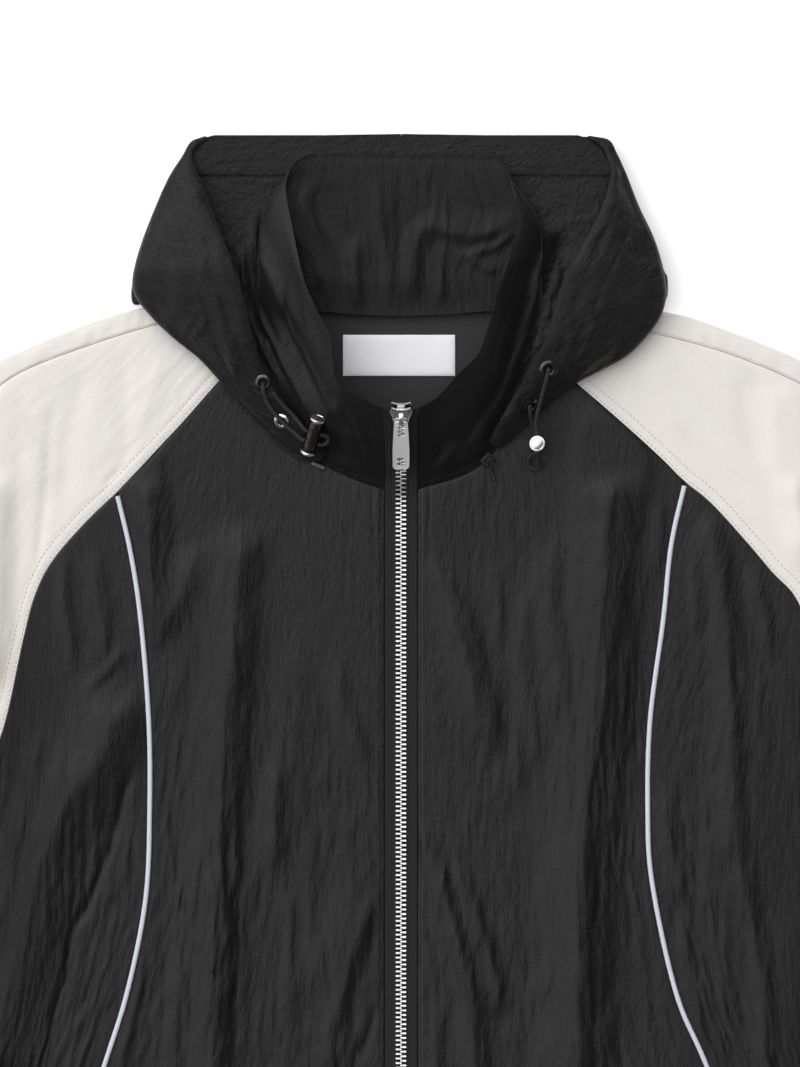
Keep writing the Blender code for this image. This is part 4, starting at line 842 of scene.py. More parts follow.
# The surround: its light behind and towards the window, how far round and how far up it changes
# from one to the other, and what is left of it at the floor.
LIGHT_WAY = (-0.62, 0.62, 0.48)
WALL_LIGHT = (0.20, 1.60)
WALL_RANGE = (0.18, 0.50)
WALL_RISE = (0.12, 0.72)
WALL_FOOT = 0.3

WINDOW_AT = (-3.0, 3.2, 3.2)
WINDOW_AIM = (0, 0.15, 0)
WINDOW_SIZE = 3.0
KEY_POWER = 66.0
PAPER_GLOW = 0.34


def change(tree, value, before, after):
    """A value carried smoothly from one range to another, as a socket."""
    ends = dict(zip(("from_min", "from_max", "to_min", "to_max"), (*before, *after)))
    node = add_node(tree, "ShaderNodeMapRange", {"Value": value}, interpolation_type="SMOOTHSTEP", **ends)
    return node.outputs["Result"]


def studio_walls(scene):
    """A soft surround, bright towards the window and dim behind it."""
    world = bpy.data.worlds.new("studio")
    world.use_nodes = True
    tree = world.node_tree
    way = add_node(tree, "ShaderNodeTexCoord").outputs["Generated"]
    facing = add_node(tree, "ShaderNodeVectorMath", operation="DOT_PRODUCT")
    tree.links.new(way, facing.inputs[0])
    facing.inputs[1].default_value = Vector(LIGHT_WAY).normalized()
    strength = change(tree, facing.outputs["Value"], WALL_RANGE, WALL_LIGHT)
    height = add_node(tree, "ShaderNodeSeparateXYZ", {"Vector": way}).outputs["Z"]
    rise = change(tree, height, WALL_RISE, (WALL_FOOT, 1.0))
    surround = tree.nodes["Background"]
    surround.inputs["Color"].default_value = (1, 1, 1, 1)
    tree.links.new(blend(tree, "MULTIPLY", strength, rise), surround.inputs["Strength"])
    scene.world = world


def drawn(add, **values):
    """A new mesh object from one of the add tools, made with nothing selected."""
    bpy.ops.object.select_all(action="DESELECT")
    add(**values)
    return bpy.context.object


def camera_and_light():
    scene = bpy.context.scene
    camera = bpy.data.objects.new("camera", bpy.data.cameras.new("camera"))
    scene.collection.objects.link(camera)
    camera.data.lens = LENS
    camera.data.sensor_width = SENSOR
    distance = VIEW_HEIGHT * MM * LENS / SENSOR
    camera.location = (*(np.array(VIEW_CENTER) * MM), distance)
    camera.data.clip_start, camera.data.clip_end = 0.1, 60.0
    scene.camera = camera

    floor = drawn(bpy.ops.mesh.primitive_plane_add, size=8)
    floor.name = "floor"
    paper = bpy.data.materials.new("white_paper")
    paper.use_nodes = True
    shader = paper.node_tree.nodes["Principled BSDF"]
    shader.inputs["Base Color"].default_value = (0.93, 0.93, 0.93, 1)
    shader.inputs["Roughness"].default_value = 0.9
    shader.inputs["Emission Color"].default_value = (1, 1, 1, 1)
    shader.inputs["Emission Strength"].default_value = PAPER_GLOW
    floor.data.materials.append(paper)

    studio_walls(scene)
    light = bpy.data.lights.new("window", "AREA")
    light.size = WINDOW_SIZE
    light.energy = KEY_POWER
    lamp = bpy.data.objects.new("window", light)
    scene.collection.objects.link(lamp)
    lamp.location = WINDOW_AT
    lamp.rotation_euler = (Vector(WINDOW_AIM) - lamp.location).to_track_quat("-Z", "Y").to_euler()
    scene.view_settings.view_transform = "Standard"


# Drawcords.
CORD_SIDES = 14
CORD_STEP = 0.7


def cord_frames(line):
    """Two unit ways across the line at each point, carried along it without twist."""
    along = unit(np.gradient(line, axis=0))
    across = [np.cross(along[0], (0.0, 0.0, 1.0))]
    for way in along[1:]:
        carried = across[-1] - way * (across[-1] @ way)
        across.append(carried / np.linalg.norm(carried))
    across = unit(np.array(across))
    return across, np.cross(along, across)


def round_tube(name, line, radii, finish, node, sides=CORD_SIDES):
    """A closed tube round a line, with its own UV map along it."""
    side_way, up_way = cord_frames(line)
    angles = np.arange(sides) * 2 * math.pi / sides
    turn = angles[None, :, None]
    ring = side_way[:, None] * np.cos(turn) + up_way[:, None] * np.sin(turn)
    radii = np.broadcast_to(radii, len(line))
    points = line[:, None] + ring * radii[:, None, None]
    rows = len(line)
    walls, at = tube_faces(rows, sides)
    caps = [(rows * sides, b, a) for a, b in zip(at[0], at[0][1:] + at[0][:1])]
    caps += [(rows * sides + 1, a, b) for a, b in zip(at[-1], at[-1][1:] + at[-1][:1])]
    run = run_of(line)
    girth = np.broadcast_to(angles * radii.mean(), (rows, sides))
    uv = np.stack([girth, np.broadcast_to(run[:, None], (rows, sides))], 2)
    uv = np.vstack([uv.reshape(-1, 2), [[0, 0], [0, run[-1]]]])
    points = np.vstack([points.reshape(-1, 3), line[0], line[-1]])
    return turn_out(mesh_piece(name, points, walls + caps, finish, uv, node))


def turn_out(piece):
    """Faces of a closed piece turned outwards."""
    shape = bmesh.new()
    shape.from_mesh(piece.data)
    bmesh.ops.recalc_face_normals(shape, faces=shape.faces)
    shape.to_mesh(piece.data)
    shape.free()
    return piece


def drawcord(side):
    route = smooth_line(CORD_ROUTES[side])
    total = run_of(route)[-1]
    line = at_length(route, np.linspace(0, total, round(total / CORD_STEP)))
    cord = round_tube(f"drawcord_{side}", line, CORD_DIAMETER / 2, "cord", f"cord_{side}")


make_materials()
camera_and_light()
for side_name in SIDES:
    drawcord(side_name)


# Panels of the front.
TOPSTITCH_INSET = 7.0
EDGESTITCH_INSET = 1.6
CENTER_CELLS = (20, 6)
SLEEVE_CELLS = (6, 6, 9)
RAGLAN_SHARE = sum(SLEEVE_CELLS[:2]) / sum(SLEEVE_CELLS)
BODY_STEPS = (1.7, 3.0)
SLEEVE_STEPS = (2.4, 3.3)
BORDER_POINTS = 241
# Keeps an inset from shooting out at a sharp corner.
SHARP_CORNER = 0.35


def border(*stretches):
    """A border made of (line, start share, end share, cells), as a function of the share of its cells."""
    places, points, passed = [], [], 0
    for line, start, end, cells in stretches:
        places.append(np.linspace(passed, passed + cells, BORDER_POINTS))
        points.append(at_share(line, np.linspace(start, end, BORDER_POINTS)))
        passed += cells
    places, points = np.concatenate(places), np.vstack(points)

    def points_at(share):
        return np.column_stack([np.interp(np.asarray(share) * passed, places, column) for column in points.T])

    return points_at


def straight(start, end):
    return border((np.array([start, end], float), 0, 1, 1))


def plan_patch(bottom, top, left, right, steps):
    """Plan of a panel between four borders, finer towards its edges."""
    middle = run_of(np.array([left(0.5)[0], right(0.5)[0]]))[-1]
    height = run_of(left(np.linspace(0, 1, 200)))[-1]
    across, up = shares(middle, steps[0]), shares(height, steps[1])
    return patch(bottom(across), top(across), left(up), right(up), across, up)


def inset_ring(ring, amount):
    """A closed outline in the plane, moved in by the amount."""
    ahead = np.roll(ring, -1, axis=0) - ring
    area = (ring[:, 0] * np.roll(ring[:, 1], -1) - np.roll(ring[:, 0], -1) * ring[:, 1]).sum()
    normal = unit(np.column_stack([-ahead[:, 1], ahead[:, 0]]) * np.sign(area))
    both = normal + np.roll(normal, 1, axis=0)
    return ring + both / np.maximum((both * both).sum(1) / 2, SHARP_CORNER)[:, None] * amount


def inset_border(grid, amount):
    """Moves the border points of a flat grid inwards, so that neighbours keep a seam gap."""
    ring = border_ring(*grid.shape[:2])
    points = grid.reshape(-1, 2).copy()
    points[ring] = inset_ring(points[ring], amount)
    return points.reshape(grid.shape)


def grid_runs(grid):
    """Length from the first column across each row, and from the first row along each column."""
    across = np.zeros(grid.shape[:2])
    across[:, 1:] = np.cumsum(np.linalg.norm(np.diff(grid, axis=1), axis=2), axis=1)
    along = np.zeros(grid.shape[:2])
    along[1:] = np.cumsum(np.linalg.norm(np.diff(grid, axis=0), axis=2), axis=0)
    return across, along


def edge_distances(across, along):
    """The distances to the first and last column and to the first and last row."""
    return across, across[:, -1:] - across, along, along[-1:] - along


SEAM_DROP = 0.55
SEAM_ROUND = 0.8
# Height, pitch along the seam, length away from it and how far from it they fade out.
PUCKER = (0.30, 3.3, 15.0, 6.5)
PUCKER_START = 1.2


def seam_shape(across, along, seed):
    """Rolled edges and puckers along a panel's four seams, as heights."""
    height, pitch, length, reach = PUCKER
    total = np.zeros(across.shape)
    for k, away in enumerate(edge_distances(across, along)):
        run = along if k < 2 else across
        total -= SEAM_DROP * np.exp(-away / SEAM_ROUND)
        puckers = height * noise(run / pitch, away / length, seed + 11 * k)
        total += puckers * np.exp(-away / reach) * ease(away / PUCKER_START)
    return total


# Height that stays free below the hood, the y where it starts to lie on top and over how much.
HOOD_CLEAR = 6.5
UNDER_HOOD = (178.0, 16.0)


def soft_limit(height, limit, soft=0.5):
    """Heights bent to stay under a limit."""
    over = height - limit
    return np.where(over > -soft, limit - soft * np.exp(-(over + soft) / soft), height)


def under_hood(height, y):
    """Heights that stay below the hood where it lies on top."""
    start, width = UNDER_HOOD
    return mix(height, soft_limit(height, HOOD_CLEAR), ease((y - start) / width))


# Depth of the fine creases at the hem and at the chest, and the y where they change and over how much.
HEM_DEPTH = 1.6
CHEST_DEPTH = 0.5
CHEST_RISE = (-80.0, 220.0)
FRONT_DEPTH = 0.85
WRINKLE_FADE = 5.0
CREASE_FADE = 4.0
# Depth and half width of the groove at a row of stitches.
STITCH_GROOVE = (0.35, 0.9)
PANEL_CLEAR = 0.25
cloth_tops = {}


def front_cloth(name, node, plan, finish, seed, creases, stitches=(), stray=2.2):
    """A panel of the front as thin crinkled cloth, with grooves at its rows of stitches."""
    plan = inset_border(plan, SEAM_GAP / 2)
    across, along = grid_runs(plan)
    flat = plan.reshape(-1, 2)
    base = front_height(flat).reshape(across.shape) + WALL
    away = np.min(edge_distances(across, along), axis=0)
    calm = mix(HEM_DEPTH, CHEST_DEPTH, ease((plan[..., 1] - CHEST_RISE[0]) / CHEST_RISE[1]))
    wrinkles = FRONT_DEPTH * calm * crinkle(across, along, seed) * (1 - np.exp(-away / WRINKLE_FADE))
    placed = crease_lines(flat, creases, stray).reshape(across.shape)
    wrinkles += placed * (1 - np.exp(-away / CREASE_FADE))
    groove_depth, groove_width = STITCH_GROOVE
    for inset in stitches:
        wrinkles -= groove_depth * hump(across - inset, groove_width)
    height = under_hood(base + seam_shape(across, along, seed) + wrinkles, plan[..., 1])
    outer = np.dstack([plan, np.maximum(height, PANEL_START + CLOTH + PANEL_CLEAR)])
    cloth(name, node, finish, (outer, outer - [0, 0, CLOTH], np.dstack([across, along])))
    cloth_tops[name] = outer


def front_center(side):
    seams = (("piping", CENTER_CELLS[0]), ("raglan_upper", CENTER_CELLS[1]))
    outer = border(*((LINES[name][side], 1, 0, cells) for name, cells in seams))
    neck = border((LINES["neck"][side], 0, 1, 1))
    hem_start = np.array([SIGN[side] * ZIP_EDGE_X, HEM_Y])
    zip_edge = straight(hem_start, neck(0)[0])
    hem = straight(hem_start, outer(0)[0])
    plan = plan_patch(hem, neck, zip_edge, outer, BODY_STEPS)
    front_cloth(f"front_{side}", f"front_center_{side}", plan, "black", seed_of("front_center", side),
                BODY_CREASES, (EDGESTITCH_INSET, TOPSTITCH_INSET))


def front_side(side):
    left, right = (border((LINES[name][side], 1, 0, 1)) for name in ("piping", "side"))
    hem = straight(left(0)[0], right(0)[0])
    top = border((LINES["raglan_lower"][side], 0, 1, 1))
    plan = plan_patch(hem, top, left, right, BODY_STEPS)
    front_cloth(f"side_front_{side}", f"front_side_{side}", plan, "black", seed_of("front_side", side),
                BODY_CREASES)


def sleeve_borders(side):
    """The sleeve's inner line from neck to cuff, its overarm seam and its outer fold."""
    cells = SLEEVE_CELLS
    seams = zip(("raglan_upper", "raglan_lower", "underarm"), cells)
    inner = border(*((LINES[name][side], 0, 1, count) for name, count in seams))
    stretches = list(zip(OUTER_SHARE, OUTER_SHARE[1:], cells))
    overarm, outline = (
        border(*((LINES[name][side], *stretch) for stretch in stretches)) for name in ("overarm", "outline")
    )
    return inner, overarm, outline


def sleeve_front(side):
    inner, overarm, _ = sleeve_borders(side)
    top = straight(inner(0)[0], overarm(0)[0])
    cuff = straight(inner(1)[0], overarm(1)[0])
    plan = plan_patch(top, cuff, inner, overarm, SLEEVE_STEPS)
    front_cloth(f"sleeve_top_{side}", f"sleeve_front_{side}", plan, "cream", seed_of("sleeve_front", side),
                SLEEVE_CREASES, (TOPSTITCH_INSET, EDGESTITCH_INSET), 0.8)


BODY_CREASES = [
    # height, half widths to the right and left of a line that runs down as seen from above, and its
    # points from the top down
    (4.5, 8.8, 7.0, (-157, 236), (-153, 195), (-151, 160), (-150, 125), (-150, 92)),
    (3.0, 7.0, 8.0, (-119, 155), (-127, 132), (-137, 108), (-151, 82)),
    (4.6, 10.0, 13.0, (-93, 166), (-96, 142), (-99, 116), (-101, 86), (-105, 56), (-107, 26), (-107, -4),
     (-110, -34), (-112, -64), (-112, -124), (-114, -262)),
    (0.5, 1.1, 1.1, (-103, -50), (-104, -138)),
    (2.3, 5.2, 6.0, (-75, 30), (-76, 4), (-76, -24), (-74, -52)),
    (1.5, 4.0, 6.0, (-40, 86), (-30, 40), (-16, 12)),
    (2.4, 5.6, 8.0, (-14, -56), (-28, -92), (-38, -130), (-42, -176)),
    (-1.3, 2.5, 3.0, (-13, -124), (-26, -166)),
    (1.7, 4.6, 5.0, (-131, -86), (-134, -125), (-138, -196)),
    (1.3, 3.6, 5.0, (-122, -20), (-126, -61), (-128, -98)),
    (1.0, 3.2, 4.0, (-54, -16), (-55, -60), (-53, -100)),
    (1.2, 3.6, 4.0, (-66, -52), (-67, -90), (-66, -150)),
    (1.5, 3.8, 4.0, (-202, 148), (-201, 108), (-196, 72)),
    (1.3, 3.6, 4.0, (-186, 152), (-180, 112), (-177, 74)),
    (1.2, 3.4, 3.0, (-162, 90), (-176, 74), (-193, 58)),
    (5.6, 17.0, 16.0, (-166, 66), (-180, 24), (-200, -6), (-214, -36), (-222, -64), (-228, -96),
     (-236, -126), (-246, -176)),
    (1.7, 4.0, 5.0, (-228, 0), (-236, -50), (-245, -96)),
    (1.5, 4.0, 5.0, (-214, 44), (-224, 0), (-231, -40)),
    (-1.7, 1.8, 3.0, (-158, 24), (-167, -8), (-175, -38), (-182, -56), (-194, -82), (-200, -108),
     (-206, -132), (-214, -170)),
    (1.5, 4.0, 4.0, (-154, -84), (-160, -125), (-172, -184)),
    (1.8, 5.4, 8.0, (11, 145), (27, 126), (37, 108), (46, 76), (53, 46), (57, 18)),
    (1.4, 3.2, 4.0, (20, 122), (30, 106), (41, 70), (47, 40)),
    (1.0, 3.4, 4.0, (55, 140), (61, 82)),
    (0.9, 3.2, 3.0, (71, 58), (69, -4)),
    (1.8, 5.2, 8.0, (93, 160), (90, 122), (95, 78), (97, 40)),
    (1.3, 4.0, 5.0, (76, 128), (73, 90), (78, 48), (84, 8)),
    (6.0, 15.4, 16.0, (133, 240), (126, 180), (121, 138), (118, 92), (116, 40), (110, -4), (107, -64),
     (106, -120), (105, -164), (104, -262)),
    (-0.45, 0.8, 2.4, (127, 34), (123, -14), (120, -64), (118, -124), (119, -190)),
    (2.9, 5.2, 7.0, (6, -10), (13, -30), (25, -62), (37, -102), (44, -140), (48, -200)),
    (1.9, 4.0, 5.0, (31, -36), (46, -74), (57, -112), (62, -140)),
    (1.4, 4.2, 5.0, (22, -120), (20, -188)),
    (1.0, 3.2, 3.6, (156, 182), (153, 126)),
    (2.9, 6.6, 7.0, (182, 172), (190, 136), (195, 100), (197, 60), (197, 14), (199, -16), (203, -50)),
    (2.4, 5.6, 7.0, (203, -28), (209, -72), (215, -108), (219, -164), (222, -236)),
    (1.8, 4.4, 5.0, (158, 10), (162, -28), (168, -72)),
    (1.5, 4.0, 4.0, (211, 142), (216, 112), (224, 74)),
    (1.3, 3.6, 3.0, (172, 156), (177, 122), (178, 90)),
    (1.4, 4.0, 4.0, (168, -70), (174, -110), (184, -160)),
    (2.4, 8.0, 8.0, (-138, -196), (-144, -260), (-150, -345)),
    (2.2, 7.0, 7.0, (-64, -186), (-72, -262), (-66, -350)),
    (-1.4, 3.0, 3.0, (-34, -200), (-48, -290)),
    (2.4, 8.0, 7.0, (-228, -186), (-236, -250), (-242, -340)),
    (2.4, 8.0, 8.0, (58, -190), (66, -262), (62, -348)),
    (2.1, 8.0, 8.0, (100, -216), (112, -280), (114, -352)),
    (-1.4, 3.0, 3.0, (152, -196), (170, -300)),
    (2.2, 7.0, 7.0, (206, -200), (226, -272), (236, -345)),
]
SLEEVE_CREASES = [
    (6.0, 7.0, 14.0, (-243, 250), (-243, 205), (-242, 160), (-243, 110), (-246, 55)),
    (-1.0, 2.0, 1.6, (-229, 249), (-224, 230), (-212, 202)),
    (-1.4, 2.4, 1.6, (-207, 242), (-211, 217), (-212, 199), (-214, 176), (-216, 157), (-219, 131)),
    (-1.3, 6.0, 8.0, (-189, 264), (-194, 234), (-200, 209), (-201, 165)),
    (-0.9, 5.0, 7.0, (-166, 269), (-166, 234), (-165, 202), (-177, 184)),
    (-0.9, 1.8, 2.2, (-166, 197), (-179, 183)),
    (0.9, 6.0, 6.0, (-142, 270), (-150, 240), (-158, 216)),
    (2.6, 9.0, 13.0, (-284, 208), (-292, 150), (-296, 96), (-306, 34)),
    (-1.5, 2.2, 2.8, (-268, 150), (-276, 90), (-292, 24)),
    (2.2, 8.0, 12.0, (-330, 168), (-343, 104), (-350, 40), (-366, -40)),
    (-1.2, 2.0, 2.6, (-318, 60), (-336, -10), (-358, -82)),
    (2.4, 8.0, 11.0, (-372, 120), (-389, 52), (-398, -20), (-416, -110)),
    (1.8, 6.0, 9.0, (-322, -30), (-350, -104), (-372, -176)),
    (-1.3, 2.4, 2.4, (-388, -60), (-410, -150), (-430, -226)),
    (2.1, 8.0, 10.0, (-428, -40), (-446, -130), (-462, -214)),
    (1.7, 6.0, 9.0, (-388, -200), (-416, -262), (-440, -330)),
    (-1.1, 2.0, 2.4, (-452, -190), (-474, -282)),
    (4.6, 6.0, 8.0, (229, 251), (232, 227), (234, 202), (236, 182), (240, 160), (243, 130)),
    (-1.2, 7.0, 5.0, (203, 259), (206, 240), (208, 224), (215, 190)),
    (-0.7, 3.0, 3.0, (211, 254), (217, 239)),
    (0.7, 6.0, 6.0, (150, 268), (158, 236), (170, 206)),
    (-1.6, 3.0, 2.2, (247, 226), (252, 190), (256, 150)),
    (2.5, 12.0, 8.0, (286, 206), (297, 148), (300, 90), (312, 22)),
    (-1.4, 2.6, 2.2, (272, 140), (280, 82), (296, 12)),
    (2.3, 11.0, 8.0, (334, 164), (346, 100), (358, 30), (372, -50)),
    (-1.2, 2.4, 2.0, (322, 54), (342, -24), (362, -92)),
    (2.2, 11.0, 7.0, (376, 114), (394, 44), (402, -30), (420, -116)),
    (1.8, 8.0, 6.0, (328, -40), (354, -112), (378, -184)),
    (-1.3, 2.4, 2.4, (392, -66), (414, -158), (436, -236)),
    (2.0, 9.0, 7.0, (432, -48), (450, -136), (466, -220)),
    (1.6, 8.0, 6.0, (392, -208), (420, -268), (444, -332)),
    (-1.1, 2.4, 2.0, (456, -196), (478, -288)),
]

for side_name in SIDES:
    for build in (front_center, front_side, sleeve_front):
        build(side_name)


# Underside, sleeve folds and piping.
BACK_NECK = ((-72, 289.4), (72, 289.4))
BACK_SIDE_CELLS = 12
BACK_SIZE = (520.0, 600.0)
BACK_STEPS = (6.5, 8.0)
UNDERSIDE_COLUMNS = 18
UNDERSIDE_STEPS = (1.6, 4.0)
UNDERSIDE_LIFT = 0.45
FOLD_TURN = 9
# Height, pitch along the seam, length away from it and seed.
FOLD_PUCKERS = ((0.42, 4.2, 9, 151), (0.35, 9.5, 16, 152))
PIPING_STEP = 1.6
PIPING_ENDS = (0.004, 0.998)


def back_inner(side, up):
    """The sleeve's inner line underneath: the back raglan seam, then the underarm seam."""
    inner, _, _ = sleeve_borders(side)
    start = np.array(BACK_NECK[SIDES.index(side)])
    fade = ease(1 - up * sum(SLEEVE_CELLS) / SLEEVE_CELLS[0])[:, None]
    return inner(up) + fade * (start - inner(0)[0])


def sleeve_back(side):
    """The sleeve's back half: its underside, its outer fold and the strip up to the overarm seam."""
    _, overarm_line, outline_line = sleeve_borders(side)
    up = shares(run_of(overarm_line(np.linspace(0, 1, 200)))[-1], UNDERSIDE_STEPS[1])
    inner, outline, overarm = back_inner(side, up), outline_line(up), overarm_line(up)
    inward = unit(inner - outline)
    radius = FOLD_HEIGHT / 2
    way = unit(np.gradient(inner, axis=0)) * -SIGN[side]
    start = inner + np.column_stack([way[:, 1], -way[:, 0]]) * SEAM_GAP / 2
    center = outline + inward * radius
    seam = overarm - unit(overarm - center) * SEAM_GAP / 2
    columns = []
    for t in np.linspace(0, 1, UNDERSIDE_COLUMNS + 1)[:-1]:
        plan = mix(start, center, t)
        wrinkled = 1 + crinkle(plan[:, 0] / 1.3, plan[:, 1], 141)
        lifted = UNDERSIDE_LIFT * ease(4 * min(t, 1 - t)) * wrinkled
        columns.append(np.column_stack([plan, np.clip(lifted, 0, WALL - CLOTH)]))
    for angle in np.linspace(-90, 90, FOLD_TURN):
        turn = math.radians(angle)
        plan = center - inward * radius * math.cos(turn)
        columns.append(np.column_stack([plan, np.full(len(plan), radius * (1 + math.sin(turn)))]))
    strip = np.linalg.norm(seam - center, axis=1)
    run = run_of(overarm)
    for t in shares(float(np.median(strip)), UNDERSIDE_STEPS[0])[1:]:
        plan = mix(center, seam, t)
        height = np.maximum(front_height(plan), FOLD_HEIGHT - WALL) + WALL
        away = (1 - t) * strip
        pucker = sum(
            amount * noise(run / pitch, away / length, seed) for amount, pitch, length, seed in FOLD_PUCKERS
        )
        height = height + pucker * ease(4 * t) * ease(away / PUCKER_START)
        height = height - SEAM_DROP * np.exp(-away / SEAM_ROUND)
        columns.append(np.column_stack([plan, under_hood(height, plan[:, 1])]))
    outer = np.stack(columns, axis=1)
    outer[0] += unit(outer[1] - outer[0]) * SEAM_GAP / 2
    # The cloth's other face lies on the inside of the fold, which is above the underside.
    inner_face = outer + turned_up(grid_normals(outer), (len(up) // 2, 4)) * CLOTH
    name = f"sleeve_under_{side}"
    cloth(name, f"sleeve_back_{side}", "cream", (outer, inner_face, np.dstack(grid_runs(outer))))
    cloth_tops[name] = outer


def back_cloth():
    across, up = (shares(size, step) for size, step in zip(BACK_SIZE, BACK_STEPS))
    borders, halves = [], []
    for side in SIDES:
        seam = border((LINES["side"][side], 1, 0, 1))
        raglan = back_inner(side, np.linspace(0, RAGLAN_SHARE, 300))[::-1]
        borders.append(border(
            (seam(np.linspace(0, 1, 200)), 0, 1, BACK_SIDE_CELLS), (raglan, 0, 1, sum(SLEEVE_CELLS[:2]))
        ))
        line = LINES["neck_back"][side]
        line = line[np.abs(line[:, 0]) < BACK_NECK[1][0] - 1]
        halves.append(line if side == "left" else line[::-1][1:])
    left, right = borders
    neck = border((np.vstack([[BACK_NECK[0]], *halves, [BACK_NECK[1]]]), 0, 1, 1))
    hem = straight(left(0)[0], right(0)[0])
    plan = inset_border(patch(hem(across), neck(across), left(up), right(up), across, up), SEAM_GAP / 2)
    runs = grid_runs(plan)
    away = np.min(edge_distances(*runs), axis=0)
    lift = 0.3 * (1 - np.exp(-away / 6)) * (1 + crinkle(plan[..., 0], plan[..., 1], 161, 14.0, 80.0))
    lower = np.dstack([plan, np.clip(lift, 0, WALL - CLOTH - 0.05)])
    cloth("back", "back_panel", "black", (lower + [0, 0, CLOTH], lower, np.dstack(runs)))
    return lower


def piping_cord(side):
    """Half-round satin piping of slightly uneven width, over both panels' edges."""
    full = LINES["piping"][side]
    line = at_share(full, np.linspace(*PIPING_ENDS, round(run_of(full)[-1] / PIPING_STEP)))
    way = unit(np.gradient(line, axis=0))
    across = np.column_stack([-way[:, 1], way[:, 0]])
    half, tall = PIPING_WIDTH / 2, PIPING_HEIGHT
    reach = [line + across * half, line - across * half, line]
    base = np.max([front_height(points) for points in reach], axis=0) + WALL + SEAM_GAP + 0.25
    base = evened(base, 4)
    run = run_of(line)
    wobble = 1 + 0.05 * uneven(run, 5.5, seed_of("piping", side))
    turns = np.linspace(0, math.pi, 9)
    ring = [(half * math.cos(t), tall * (0.12 + 0.88 * math.sin(t) ** 0.8)) for t in turns]
    ring = [(half * 0.9, 0.0)] + ring + [(-half * 0.9, 0.0)]
    rows = np.stack(
        [np.column_stack([line + across * (w * wobble)[:, None], base + h * wobble]) for w, h in ring], axis=1
    )
    walls, at = tube_faces(len(line), len(ring))
    girth = np.broadcast_to(run_of(np.array(ring)), rows.shape[:2])
    uv = np.stack([girth, np.broadcast_to(run[:, None], girth.shape)], axis=2).reshape(-1, 2)
    faces = walls + [at[0][::-1], at[-1]]
    node = f"piping_{side}"
    sharpen(turn_out(mesh_piece(f"satin_{node}", rows.reshape(-1, 3), faces, "piping", uv, node)), 60)


# Hood.
def hood_sections(side, rows):
    """The table's rows, smoothed and spaced evenly round the hood's edge."""
    table = smooth_line(HOOD_SECTIONS[side], 8)
    run = run_of(table[:, 2:4])
    where = np.linspace(0, run[-1], rows + 1)
    return np.column_stack([np.interp(where, run, column) for column in table.T])


def hood_floor_height(points):
    """Height of the underside of the hood's lower layer."""
    points = np.atleast_2d(points)
    level = HOOD_REST + 0.8 * ease((300 - points[:, 1]) / 40)
    depth, reach = HOOD_DIP
    back = np.vstack([LINES["neck_back"]["left"][::6], LINES["neck_back"]["right"][::-6][1:]])
    near = 1 - ease(distance_to(points, back) / reach)
    inside = ease((76 - np.abs(points[:, 0])) / 24) * ease((points[:, 1] - 280) / 8)
    return level - depth * near * inside


HOOD_ROWS = 150
HOOD_FLOOR, HOOD_FOLD, HOOD_FLAP = 30, 14, 44


def hood_grid(side, rows, floor_cells, fold_cells, flap_cells):
    """The hood's outer face: rows from the mouth's top to the zip, columns from the inner end to the rim."""
    sign = SIGN[side]
    sections = hood_sections(side, rows)
    inner, edge, rim = sections[:, 0:2].copy(), sections[:, 2:4], sections[:, 4:6]
    rim_z, radius = sections[:, 6], sections[:, 7]
    inner[:, 0] = sign * np.maximum(np.abs(inner[:, 0]), SEAM_GAP / 2)
    inward = unit(unit(inner - edge) + unit(rim - edge))
    hub = edge + inward * radius[:, None]
    columns = []
    for t in np.linspace(0, 1, floor_cells + 1):
        plan = mix(inner, hub, t)
        columns.append(np.column_stack([plan, hood_floor_height(plan)]))
    rest = columns.pop()[:, 2]
    for angle in np.linspace(-90, 90, fold_cells + 1):
        way = math.radians(angle)
        plan = hub - inward * (radius * math.cos(way))[:, None]
        columns.append(np.column_stack([plan, rest + radius * (1 + math.sin(way))]))
    top = rest + 2 * radius
    reach = np.minimum(1.0, np.linalg.norm(rim - hub, axis=1) / 30)
    for t in np.linspace(0, 1, flap_cells + 1)[1:]:
        crown = HOOD_CROWN * math.sin(math.pi * t) * reach
        climb = (math.sin(math.pi / 2 * t) + t) / 2
        columns.append(np.column_stack([mix(hub, rim, t), mix(top, rim_z, climb) + crown]))
    return np.stack(columns, axis=1)


